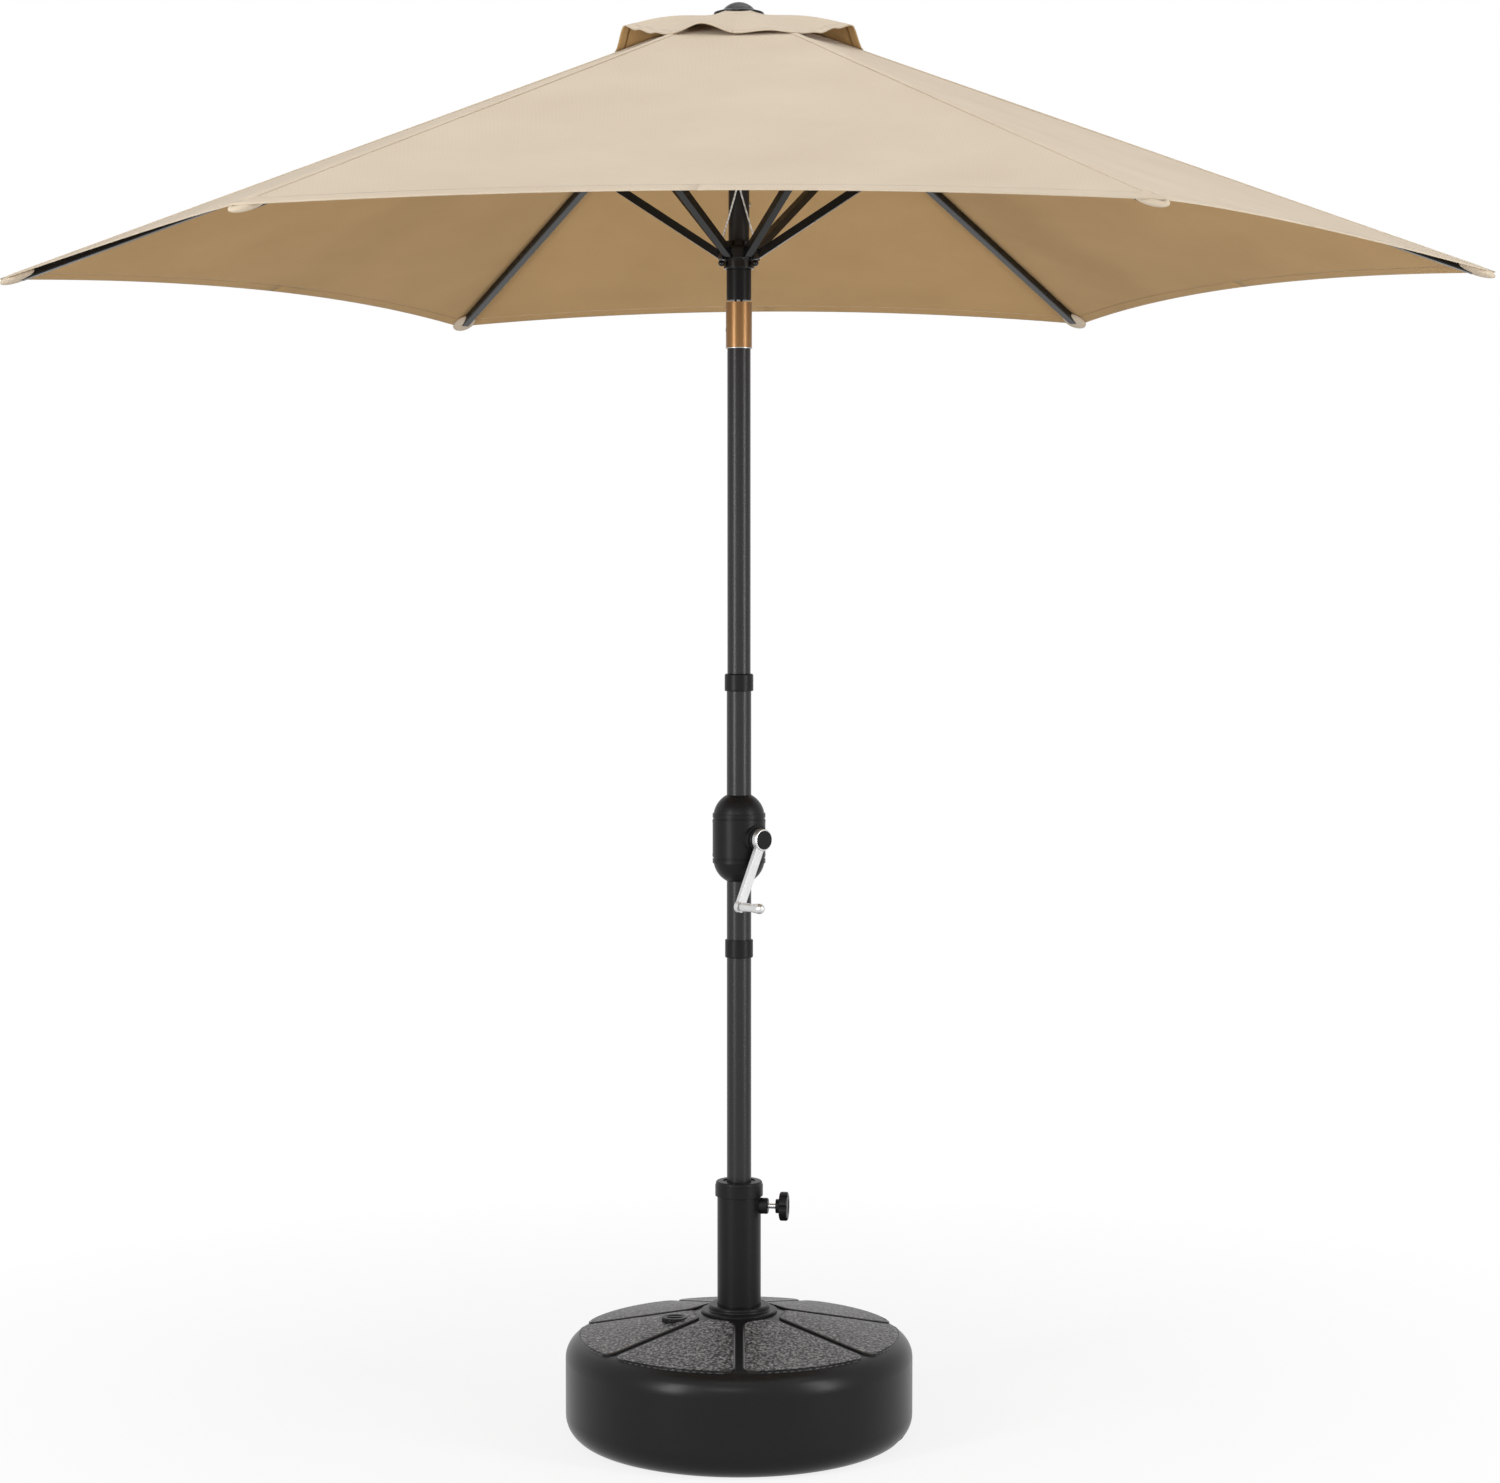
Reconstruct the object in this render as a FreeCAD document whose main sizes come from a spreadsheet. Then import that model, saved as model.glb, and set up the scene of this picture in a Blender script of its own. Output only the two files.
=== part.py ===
import FreeCAD, Part
import math
import os
from types import SimpleNamespace

import Sketcher

Vector = FreeCAD.Vector
document = FreeCAD.newDocument("PatioUmbrella")
sheet = document.addObject("Spreadsheet::Sheet", "Sizes")

# Driving dimensions: millimetres, and degrees where the name says angle or turn.
DRIVING = {
    # clearances
    "soft_gap": 0.3,
    "body_gap": 0.3,
    "seat_gap": 0.1,
    "run_gap": 0.05,
    # stand
    "base_turn": 3.13,
    "tank_diameter": 542,
    "tank_wall": 4,
    "tank_foot_radius": 40,
    "tank_shoulder_radius": 35,
    "panel_margin": 21,
    "panel_inner_margin": 10,
    "crown_margin": 0.5,
    "tank_crown_height": 196,
    "tank_slope_angle": 10.6,
    "well_floor": 40,
    "scoop_turn_angle": -19,
    "scoop_radius": 262,
    "scoop_diameter": 42,
    "panel_count": 7,
    "panel_channel": 11,
    "panel_raise": 2.6,
    "panel_corner": 16,
    "ballast_height": 134,
    "tube_diameter": 68,
    "tube_wall": 3,
    "tube_top": 397,
    "flange_width": 25.5,
    "flange_step_width": 13.5,
    "cap_wall": 3.25,
    "cap_depth": 17,
    "cap_rise": 6,
    "knob_drop": 33,
    "flange_height": 13,
    "seat_height": 50,
    "seat_floor": 10,
    "knob_turn_angle": -4.4,
    "screw_diameter": 8,
    "nut_diameter": 25,
    "nut_stand": 12,
    "knob_hub_stand": 24,
    "knob_stand": 30,
    "knob_hub_diameter": 22,
    "knob_thickness": 13,
    "knob_diameter": 45,
    "knob_lobes": 6,
    "knob_scallop": 8,
    "fill_turn_angle": 196,
    "fill_radius": 104,
    "fill_recess_diameter": 62,
    "fill_recess_depth": 5,
    "fill_cap_diameter": 41,
    "fill_cap_height": 12,
    "fill_neck_diameter": 30,
    # poles
    "pole_diameter": 38,
    "pole_wall": 0.9,
    "lower_pole_top": 767,
    "crank_pole_length": 413,
    "mid_pole_length": 520,
    "mid_pole_wall": 1.5,
    "mid_pole_overlap": 60,
    "joiner_reach": 50,
    "joiner_wall": 2.5,
    "joint_collar_wall": 2.75,
    "upper_collar_wall": 3.25,
    "upper_collar_drop": 13,
    "upper_collar_rise": 14,
    "joint_collar_height": 28,
    # crank
    "crank_turn_angle": -45,
    "crank_rise": 172,
    "housing_diameter": 82,
    "housing_length": 134,
    "housing_wall": 3,
    "band_width": 6.5,
    "band_proud": 1,
    "groove_width": 2.5,
    "groove_depth": 1.4,
    "seam_gap": 0.1,
    "post_diameter": 9,
    "post_stand": 9,
    "pad_proud": 3,
    "post_rise": 26,
    "pad_diameter": 44,
    "bezel_diameter": 38,
    "bezel_thickness": 4,
    "boss_gap": 0.4,
    "shaft_diameter": 12,
    "stub_diameter": 8,
    "spool_half_width": 10,
    "spool_flange": 1.4,
    "spool_flange_diameter": 24,
    "boss_diameter": 34,
    "boss_thickness": 9.6,
    "boss_cap_diameter": 29,
    "boss_cap_thickness": 2.4,
    "arm_angle": 24.7,
    "arm_length": 110,
    "arm_width": 15,
    "arm_end_diameter": 18,
    "arm_thickness": 7,
    "grip_pin_diameter": 6,
    "grip_diameter": 16,
    "grip_length": 50,
    # tilt
    "tilt_rise": 48,
    "tilt_sleeve_wall": 1.7,
    "tilt_sleeve_drop": 5,
    "tilt_sleeve_rise": 65,
    "fork_plug_depth": 40,
    "fork_shoulder_rise": 30,
    "cheek_inset": 3,
    "cheek_half_depth": 9.5,
    "tongue_thickness": 12,
    "tongue_half_depth": 9,
    "tilt_pin_diameter": 8,
    "tilt_pin_inset": 0.8,
    "knuckle_rise": 20,
    "knuckle_height": 47,
    "knuckle_wall": 3,
    "knuckle_floor": 14,
    "button_rise": 23,
    "button_diameter": 8,
    "button_proud": 0.2,
    "button_travel": 3,
    "spring_wire": 0.8,
    "spring_turns": 8,
    # upper mast
    "top_pole_diameter": 32,
    "top_pole_wall": 1.5,
    "top_pole_rise": 373,
    "guide_drop": 243,
    "guide_inset": 5,
    "guide_diameter": 11,
    "guide_width": 8,
    "guide_pin_diameter": 3,
    "stop_screw_drop": 274,
    "stop_screw_diameter": 7,
    "stop_screw_shank": 3.2,
    "hub_socket_wall": 4.5,
    "hub_socket_drop": 26,
    "hub_drop": 10,
    "hub_rise": 12,
    "hub_rim": 6,
    "finial_flange_diameter": 77,
    "finial_dome_diameter": 50,
    "finial_rise": 34,
    "finial_stud_diameter": 16,
    # ribs, struts and runner
    "rib_count": 6,
    "rib_slope": 0.354,
    "rib_hinge_stand": 7.5,
    "rib_line_rise": 16.5,
    "rib_width": 14.5,
    "rib_depth": 12,
    "rib_wall": 1,
    "rib_end_inset": 32,
    "rib_tongue_width": 8,
    "rib_tongue_depth": 10,
    "rib_tongue_length": 24,
    "hinge_pin_diameter": 5,
    "hinge_pin_length": 20,
    "bracket_radius": 369,
    "bracket_drop": 13.5,
    "bracket_length": 20,
    "bracket_wall": 2.5,
    "strut_width": 12,
    "strut_wall": 1,
    "runner_drop": 350,
    "runner_slack": 0.6,
    "runner_wall": 2.9,
    "runner_pivot_stand": 6.5,
    "runner_rim": 3,
    "runner_below": 22,
    "runner_above": 20,
    "runner_crown_below": 9,
    "runner_crown_above": 11,
    "runner_ear": 3,
    "notch_flare": 3,
    # lift cord
    "cord_diameter": 2.6,
    "cord_inset": 3.5,
    "bead_diameter": 10,
    # canopy
    "canopy_radius": 1150,
    "canopy_scallop": 52,
    "cloth_line_rise": 24.8,
    "cloth_thickness": 1.5,
    "vent_radius": 190,
    "vent_hole_radius": 120,
    "vent_rise": 0.6,
}


class Size:
    """A value together with the spreadsheet expression that gives it."""

    def __init__(self, value, text):
        self.value = value
        self.text = text

    def __add__(self, other):
        other = as_size(other)
        return Size(self.value + other.value, f"({self.text} + {other.text})")

    def __sub__(self, other):
        other = as_size(other)
        return Size(self.value - other.value, f"({self.text} - {other.text})")

    def __mul__(self, other):
        other = as_size(other)
        return Size(self.value * other.value, f"({self.text} * {other.text})")

    def __truediv__(self, other):
        other = as_size(other)
        return Size(self.value / other.value, f"({self.text} / {other.text})")

    def __neg__(self):
        return Size(-self.value, f"(0 - {self.text})")

    def __radd__(self, other):
        return as_size(other) + self

    def __rsub__(self, other):
        return as_size(other) - self

    def __rmul__(self, other):
        return as_size(other) * self

    def __rtruediv__(self, other):
        return as_size(other) / self


def as_size(item):
    return item if isinstance(item, Size) else Size(float(item), f"{float(item):.6f}")


def sine(angle):
    angle = as_size(angle)
    return Size(math.sin(math.radians(angle.value)), f"sin({angle.text})")


def cosine(angle):
    angle = as_size(angle)
    return Size(math.cos(math.radians(angle.value)), f"cos({angle.text})")


def root(amount):
    return Size(math.sqrt(amount.value), f"sqrt({amount.text})")


def larger(first, second):
    return Size(max(first.value, second.value), f"max({first.text}; {second.text})")


def arctangent(amount):
    return Size(math.degrees(math.atan(amount.value)), f"(atan({amount.text}) / 1deg)")


def fill_sheet():
    for row, (name, amount) in enumerate(DRIVING.items(), start=1):
        sheet.set(f"A{row}", name)
        sheet.set(f"B{row}", str(amount))
        sheet.setAlias(f"B{row}", name)
    document.recompute()


fill_sheet()
d = SimpleNamespace(**{name: Size(float(sheet.get(name)), f"Sizes.{name}") for name in DRIVING})
nodes = {}
helpers = {"count": 0}


def follow_stand():
    """Sizes of the stand that follow from the tank and the tube."""
    d.flange_diameter = d.tube_diameter + 2 * d.flange_width
    d.flange_step_diameter = d.tube_diameter + 2 * d.flange_step_width
    d.tank_crown_radius = d.flange_diameter / 2 + d.crown_margin
    d.panel_inner_radius = d.tank_crown_radius + d.panel_inner_margin
    d.panel_outer_radius = d.tank_diameter / 2 - d.panel_margin
    d.cap_diameter = d.tube_diameter + 2 * d.cap_wall
    d.cap_bottom = d.tube_top - d.cap_depth
    d.cap_top = d.tube_top + d.cap_rise
    d.knob_height = d.tube_top - d.knob_drop
    d.nut_reach = d.tube_diameter / 2 + d.nut_stand
    d.knob_hub_start = d.tube_diameter / 2 + d.knob_hub_stand
    d.knob_start = d.tube_diameter / 2 + d.knob_stand


def follow_mast():
    """Each length of the mast stands on the one below it."""
    d.crank_pole_top = d.lower_pole_top + d.crank_pole_length
    d.crank_height = d.lower_pole_top + d.crank_rise
    d.post_offset = d.pole_diameter / 2 + d.post_stand
    d.pad_reach = d.housing_diameter / 2 + d.pad_proud
    d.boss_start = d.pad_reach + d.bezel_thickness + d.boss_gap
    d.joint_collar_diameter = d.pole_diameter + 2 * d.joint_collar_wall
    d.upper_collar_diameter = d.pole_diameter + 2 * d.upper_collar_wall
    d.upper_collar_bottom = d.crank_pole_top - d.upper_collar_drop
    d.upper_collar_top = d.crank_pole_top + d.upper_collar_rise
    d.mid_pole_diameter = d.pole_diameter - 2 * d.pole_wall - 2 * d.seat_gap
    d.mid_pole_top = d.crank_pole_top + d.mid_pole_length
    d.tilt_height = d.mid_pole_top + d.tilt_rise
    d.tilt_sleeve_diameter = d.mid_pole_diameter + 2 * (d.body_gap + d.tilt_sleeve_wall)
    d.tilt_sleeve_bottom = d.mid_pole_top - d.tilt_sleeve_drop
    d.tilt_sleeve_top = d.mid_pole_top + d.tilt_sleeve_rise
    d.cheek_reach = d.mid_pole_diameter / 2 - d.cheek_inset
    d.tilt_pin_length = d.mid_pole_diameter + 2 * (d.body_gap - d.tilt_pin_inset)
    d.fork_shoulder = d.mid_pole_top + d.fork_shoulder_rise
    d.button_height = d.mid_pole_top + d.button_rise
    d.knuckle_bottom = d.tilt_height + d.knuckle_rise
    d.knuckle_top = d.knuckle_bottom + d.knuckle_height
    d.knuckle_diameter = d.top_pole_diameter + 2 * d.knuckle_wall
    d.top_pole_top = d.knuckle_top + d.top_pole_rise


def follow_crown():
    """The crown, ribs and runner hang from the top of the mast."""
    d.guide_height = d.top_pole_top - d.guide_drop
    d.guide_offset = d.top_pole_diameter / 2 - d.guide_inset
    d.stop_screw_height = d.top_pole_top - d.stop_screw_drop
    d.hub_socket_diameter = d.top_pole_diameter + 2 * d.hub_socket_wall
    d.hub_socket_bottom = d.top_pole_top - d.hub_socket_drop
    d.hub_bottom = d.top_pole_top - d.hub_drop
    d.hub_top = d.top_pole_top + d.hub_rise
    d.finial_top = d.top_pole_top + d.finial_rise
    d.rib_hinge_radius = d.hub_socket_diameter / 2 + d.rib_hinge_stand
    d.hub_diameter = 2 * (d.rib_hinge_radius + d.hub_rim)
    d.rib_line_height = d.top_pole_top + d.rib_line_rise
    d.rib_end_radius = d.canopy_radius - d.rib_end_inset
    d.cloth_line_height = d.top_pole_top + d.cloth_line_rise
    widest = larger(d.tilt_sleeve_diameter, d.knuckle_diameter)
    d.runner_bore_diameter = widest + 2 * d.runner_slack
    d.runner_ring_diameter = d.runner_bore_diameter + 2 * d.runner_wall
    d.runner_pivot_radius = d.runner_ring_diameter / 2 + d.runner_pivot_stand
    d.runner_crown_diameter = 2 * (d.runner_pivot_radius + d.runner_rim)
    d.runner_pivot_height = d.top_pole_top - d.runner_drop
    d.runner_bottom = d.runner_pivot_height - d.runner_below
    d.runner_top = d.runner_pivot_height + d.runner_above
    d.runner_crown_bottom = d.runner_pivot_height - d.runner_crown_below
    d.runner_crown_top = d.runner_pivot_height + d.runner_crown_above
    d.cord_front = d.top_pole_diameter / 2 - d.cord_inset
    d.cord_spread = d.runner_pivot_radius * cosine(180 / d.rib_count)
    d.cord_runner_front = d.runner_pivot_radius * sine(180 / d.rib_count)


follow_stand()
follow_mast()
follow_crown()


# building blocks
def new_name(stem):
    helpers["count"] += 1
    return f"{stem}_{helpers['count']}"


def bind(item, path, amount):
    item.setExpression(path, as_size(amount).text)


def place(item, x=0, y=0, z=0, turn=0, axis=(0, 0, 1)):
    x, y, z, turn = (as_size(amount) for amount in (x, y, z, turn))
    rotation = FreeCAD.Rotation(Vector(*axis), turn.value)
    item.Placement = FreeCAD.Placement(Vector(x.value, y.value, z.value), rotation)
    bind(item, "Placement.Base.x", x)
    bind(item, "Placement.Base.y", y)
    bind(item, "Placement.Base.z", z)
    if turn.value:
        bind(item, "Placement.Rotation.Angle", turn)
    return item


def node(item, label):
    item.Label = label
    nodes[label] = item
    return item


def block(x_range, y_range, z_range):
    item = document.addObject("Part::Box", new_name("Block"))
    for side, (low, high) in zip(("Length", "Width", "Height"), (x_range, y_range, z_range)):
        bind(item, side, as_size(high) - as_size(low))
    return place(item, x_range[0], y_range[0], z_range[0])


def upright(radius, low, high, x=0, y=0):
    item = document.addObject("Part::Cylinder", new_name("Upright"))
    bind(item, "Radius", radius)
    bind(item, "Height", as_size(high) - as_size(low))
    return place(item, x, y, low)


def ball(radius, x, y, z):
    item = document.addObject("Part::Sphere", new_name("Ball"))
    bind(item, "Radius", radius)
    return place(item, x, y, z)


def rod(radius, low, high, y=0, z=0):
    """A cylinder along X."""
    item = document.addObject("Part::Cylinder", new_name("Rod"))
    bind(item, "Radius", radius)
    bind(item, "Height", as_size(high) - as_size(low))
    return place(item, low, y, z, 90, (0, 1, 0))


def bar(radius, half_length, x=0, z=0):
    """A cylinder along Y, centred on the XZ plane."""
    item = document.addObject("Part::Cylinder", new_name("Bar"))
    bind(item, "Radius", radius)
    bind(item, "Height", 2 * as_size(half_length))
    return place(item, x, half_length, z, 90, (1, 0, 0))


def cut(base, *tools):
    for tool in tools:
        item = document.addObject("Part::Cut", new_name("Cut"))
        item.Base = base
        item.Tool = tool
        base = item
    return base


def fuse(*pieces):
    item = document.addObject("Part::MultiFuse", new_name("Fuse"))
    item.Shapes = list(pieces)
    item.Refine = True
    return item


def common(first, second):
    item = document.addObject("Part::Common", new_name("Common"))
    item.Base = first
    item.Tool = second
    return item


def group(pieces):
    item = document.addObject("Part::Compound", new_name("Group"))
    item.Links = list(pieces)
    return item


def made(shape):
    item = document.addObject("Part::Feature", new_name("Made"))
    item.Shape = shape
    return item


def plane_of(body, role):
    return next(feature for feature in body.Origin.OriginFeatures if feature.Role == role)


def draw_loop(sketch, corners):
    """One closed loop. A corner is (across, up), or (across, up, radius) where the side that
    arrives there is an arc; a positive radius bulges to the right of the way it runs."""
    first = sketch.GeometryCount
    spots = [(as_size(corner[0]), as_size(corner[1])) for corner in corners]
    points = [Vector(across.value, up.value, 0) for across, up in spots]
    ends = []
    for index, corner in enumerate(corners):
        start, stop = points[index - 1], points[index]
        if len(corner) == 2:
            sketch.addGeometry(Part.LineSegment(start, stop), False)
            ends.append((1, 2))
            continue
        radius = as_size(corner[2]).value
        chord = stop - start
        height = math.sqrt(max(radius * radius - chord.Length ** 2 / 4, 0))
        normal = Vector(-chord.y, chord.x, 0).normalize() * math.copysign(height, radius)
        centre = (start + stop) / 2 + normal
        begin, end = (start, stop) if radius > 0 else (stop, start)
        angles = [math.atan2(point.y - centre.y, point.x - centre.x) for point in (begin, end)]
        circle = Part.Circle(centre, Vector(0, 0, 1), abs(radius))
        sketch.addGeometry(Part.ArcOfCircle(circle, angles[0], angles[1]), False)
        ends.append((1, 2) if radius > 0 else (2, 1))
    total = len(corners)
    for index in range(total):
        here, after = first + index, first + (index + 1) % total
        sketch.addConstraint(
            Sketcher.Constraint("Coincident", here, ends[index][1], after, ends[(index + 1) % total][0])
        )
    for index, (across, up) in enumerate(spots):
        here, end = first + index, ends[index][1]
        for kind, amount in (("DistanceX", across), ("DistanceY", up)):
            if amount.value == 0 and amount.text == "0.000000":
                axis = -2 if kind == "DistanceX" else -1
                sketch.addConstraint(Sketcher.Constraint("PointOnObject", here, end, axis))
                continue
            number = sketch.addConstraint(Sketcher.Constraint(kind, -1, 1, here, end, amount.value))
            bind(sketch, f"Constraints[{number}]", amount)
        if len(corners[index]) == 3:
            radius = as_size(corners[index][2])
            size = radius if radius.value > 0 else -radius
            number = sketch.addConstraint(Sketcher.Constraint("Radius", here, size.value))
            bind(sketch, f"Constraints[{number}]", size)


def sketch_in(body, role, loops):
    sketch = body.newObject("Sketcher::SketchObject", new_name("Sketch"))
    sketch.AttachmentSupport = [(plane_of(body, role), "")]
    sketch.MapMode = "FlatFace"
    for corners in loops:
        draw_loop(sketch, corners)
    return sketch


def turned(*loops, about="V_Axis"):
    """A body turned about its own Z from (radius, height) corners, or about its own X from
    (along, radius) corners."""
    body = document.addObject("PartDesign::Body", new_name("Turned"))
    sketch = sketch_in(body, "XZ_Plane", loops)
    sketch.Visibility = False
    document.recompute()
    feature = body.newObject("PartDesign::Revolution", new_name("Revolution"))
    feature.Profile = sketch
    feature.ReferenceAxis = (sketch, [about])
    feature.Angle = 360
    return body


def tube(outer_radius, inner_radius, low, high):
    return turned([(inner_radius, low), (outer_radius, low), (outer_radius, high), (inner_radius, high)])


def around(count, angle=0):
    return [as_size(angle) + index * 360 / as_size(count) for index in range(int(as_size(count).value))]


def cord_tube(points, diameter):
    """A cord along straight runs joined by tangent arcs, each as large as its runs allow."""
    share = 0.45
    edges = []
    start = points[0]
    for before, corner, after in zip(points, points[1:], points[2:]):
        towards, away = corner - before, after - corner
        half_turn = towards.getAngle(away) / 2
        back = share * min(towards.Length, away.Length)
        first = corner - towards.normalize() * back
        last = corner + away.normalize() * back
        radius = back / math.tan(half_turn)
        inward = (first + last) / 2 - corner
        middle = corner + inward.normalize() * (radius / math.cos(half_turn) - radius)
        print(f"cord radius {radius:.0f} mm")
        edges.append(Part.LineSegment(start, first).toShape())
        edges.append(Part.Arc(first, middle, last).toShape())
        start = last
    edges.append(Part.LineSegment(start, points[-1]).toShape())
    wire = Part.Wire(edges)
    way = points[1] - points[0]
    ring = Part.Wire(Part.makeCircle(diameter / 2, points[0], way))
    solid = wire.makePipeShell([ring], True, False)
    expected = math.pi * diameter ** 2 / 4 * wire.Length
    print(f"cord length {wire.Length:.0f} mm, volume {solid.Volume / expected:.4f} of section x length")
    return solid


# shared places
pole_radius = d.pole_diameter / 2
tank_radius = d.tank_diameter / 2
tube_radius = d.tube_diameter / 2
well_radius = tube_radius + d.body_gap
slope_sine = sine(d.tank_slope_angle)
slope_cosine = cosine(d.tank_slope_angle)
slope_tangent = slope_sine / slope_cosine
rib_angle = arctangent(d.rib_slope)
rib_cosine = cosine(rib_angle)
rib_sine = sine(rib_angle)
rib_hinge_height = d.rib_line_height - d.rib_slope * d.rib_hinge_radius
bracket_along = (d.bracket_radius - d.rib_hinge_radius + d.bracket_drop * rib_sine) / rib_cosine
bracket_height = rib_hinge_height - bracket_along * rib_sine - d.bracket_drop * rib_cosine
pin_radius = d.hinge_pin_diameter / 2
sleeve_bore = d.tilt_sleeve_diameter / 2 - d.tilt_sleeve_wall
rib_turns = around(d.rib_count)


def tank_top(radius):
    """Height of the tank's sloping top at a radius."""
    return d.tank_crown_height - slope_tangent * (radius - d.tank_crown_radius)


# stand
def tank_outline(skin, inner_radius, floor):
    """Outer or inner wall of the tank, as far inside the outer face as skin says."""
    foot = d.tank_foot_radius - skin
    shoulder = d.tank_shoulder_radius - skin
    wall = tank_radius - skin
    middle = tank_radius - d.tank_shoulder_radius
    touch = middle + d.tank_shoulder_radius * slope_sine
    centre = tank_top(touch) - d.tank_shoulder_radius * slope_cosine
    drop = skin / slope_cosine
    return [
        (inner_radius, floor),
        (wall - foot, floor),
        (wall, floor + foot, foot),
        (wall, centre),
        (middle + shoulder * slope_sine, centre + shoulder * slope_cosine, shoulder),
        (d.tank_crown_radius, tank_top(d.tank_crown_radius) - drop),
        (inner_radius, tank_top(d.tank_crown_radius) - drop),
    ]


def panel_prism(low, high):
    """One wedge of the tank's top, seen from above, with rounded corners."""
    inner, outer = d.panel_inner_radius.value, d.panel_outer_radius.value
    half = math.pi / d.panel_count.value
    offset = d.panel_channel.value / 2
    corners = []
    for radius in (inner, outer):
        angle = half - math.asin(offset / radius)
        corners.append((radius, angle))
    (r_in, a_in), (r_out, a_out) = corners

    def spot(radius, angle):
        return Vector(radius * math.cos(angle), radius * math.sin(angle), low)

    edges = [
        Part.Arc(spot(r_in, -a_in), spot(r_in, 0), spot(r_in, a_in)).toShape(),
        Part.LineSegment(spot(r_in, a_in), spot(r_out, a_out)).toShape(),
        Part.Arc(spot(r_out, a_out), spot(r_out, 0), spot(r_out, -a_out)).toShape(),
        Part.LineSegment(spot(r_out, -a_out), spot(r_in, -a_in)).toShape(),
    ]
    prism = Part.Face(Part.Wire(edges)).extrude(Vector(0, 0, high - low))
    uprights = [edge for edge in prism.Edges if abs(edge.tangentAt(edge.FirstParameter).z) > 0.99]
    return prism.makeFillet(d.panel_corner.value, uprights)


def tank():
    outer = tank_outline(Size(0, "0"), well_radius, as_size(0))
    outer = [(0, 0)] + outer[1:] + [(well_radius, d.well_floor), (0, d.well_floor)]
    inner = tank_outline(d.tank_wall, well_radius + d.tank_wall, d.tank_wall)
    shell = turned(outer, inner)
    layer = turned([
        (d.tank_crown_radius, tank_top(d.tank_crown_radius) - d.tank_wall / 2),
        (tank_radius, tank_top(tank_radius) - d.tank_wall / 2),
        (tank_radius, tank_top(tank_radius) + d.panel_raise),
        (d.tank_crown_radius, tank_top(d.tank_crown_radius) + d.panel_raise),
    ])
    prism = panel_prism(d.tank_wall.value, d.tank_crown_height.value + d.tank_shoulder_radius.value)
    wedges = []
    for turn in around(d.panel_count, -90 + 180 / d.panel_count):
        wedge = made(prism)
        wedges.append(place(wedge, turn=turn))
    panels = common(layer, group(wedges))
    recess_floor = tank_top(d.fill_radius) - d.fill_recess_depth
    fill = (d.fill_radius * cosine(d.fill_turn_angle), d.fill_radius * sine(d.fill_turn_angle))
    recess_radius = d.fill_recess_diameter / 2
    cup = upright(recess_radius + d.tank_wall, recess_floor - d.tank_wall,
                  tank_top(d.fill_radius) - d.tank_wall, *fill)
    recess = upright(recess_radius, recess_floor, d.tank_crown_height + 20, *fill)
    neck = upright(d.fill_neck_diameter / 2 + d.run_gap, recess_floor - 20, recess_floor + 1, *fill)
    # A hollow under the foot, where fingers go to lift the tank.
    scoop = (d.scoop_radius * cosine(d.scoop_turn_angle), d.scoop_radius * sine(d.scoop_turn_angle), 0)
    lining = common(ball(d.scoop_diameter / 2 + d.tank_wall, *scoop), turned(outer))
    whole = cut(fuse(shell, panels, cup, lining), recess, neck, ball(d.scoop_diameter / 2, *scoop))
    place(whole, turn=d.base_turn)
    node(whole, "base_tank")


def ballast():
    inner = well_radius + d.tank_wall + d.soft_gap
    outer = tank_radius - d.tank_wall - d.tank_foot_radius
    body = tube(outer, inner, d.tank_wall + d.soft_gap, d.ballast_height)
    node(body, "ballast_fill")


def base_tube():
    body = tube(tube_radius, tube_radius - d.tube_wall, d.well_floor, d.tube_top)
    hole = rod(d.screw_diameter / 2 + d.body_gap, 0, d.nut_reach, z=d.knob_height)
    whole = cut(body, hole)
    place(whole, turn=d.knob_turn_angle)
    node(whole, "base_tube")


def base_flange():
    bore = tube_radius + d.seat_gap
    low = d.tank_crown_height
    step = low + d.flange_height * 0.4
    outer, inner = d.flange_diameter / 2, d.flange_step_diameter / 2
    body = turned([
        (bore, low),
        (outer, low),
        (outer, low + 3),
        (outer - 3, low + 5, 3.5),
        (inner + 2, step),
        (inner, step + 2, -2),
        (inner, low + d.flange_height - 3),
        (inner - 3, low + d.flange_height, 3),
        (bore, low + d.flange_height),
    ])
    node(body, "base_flange")


def pole_seat():
    outer = tube_radius - d.tube_wall - d.seat_gap
    bore = pole_radius + d.body_gap
    low = d.well_floor
    body = turned([
        (0, low),
        (outer, low),
        (outer, low + d.seat_height),
        (bore, low + d.seat_height),
        (bore, low + d.seat_floor),
        (0, low + d.seat_floor),
    ])
    node(body, "pole_seat")


def tube_cap():
    outer = d.cap_diameter / 2
    bore = pole_radius + d.body_gap
    inside = tube_radius + d.seat_gap
    body = turned([
        (inside, d.cap_bottom),
        (outer, d.cap_bottom),
        (outer, d.cap_top - 6),
        (outer - 1, d.cap_top - 5),
        (outer - 1, d.cap_top - 3),
        (outer - 4, d.cap_top, 3),
        (bore + 6, d.cap_top),
        (bore + 6, d.cap_top - 2),
        (bore, d.cap_top - 2),
        (bore, d.tube_top),
        (inside, d.tube_top),
    ])
    node(body, "tube_cap")


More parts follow.
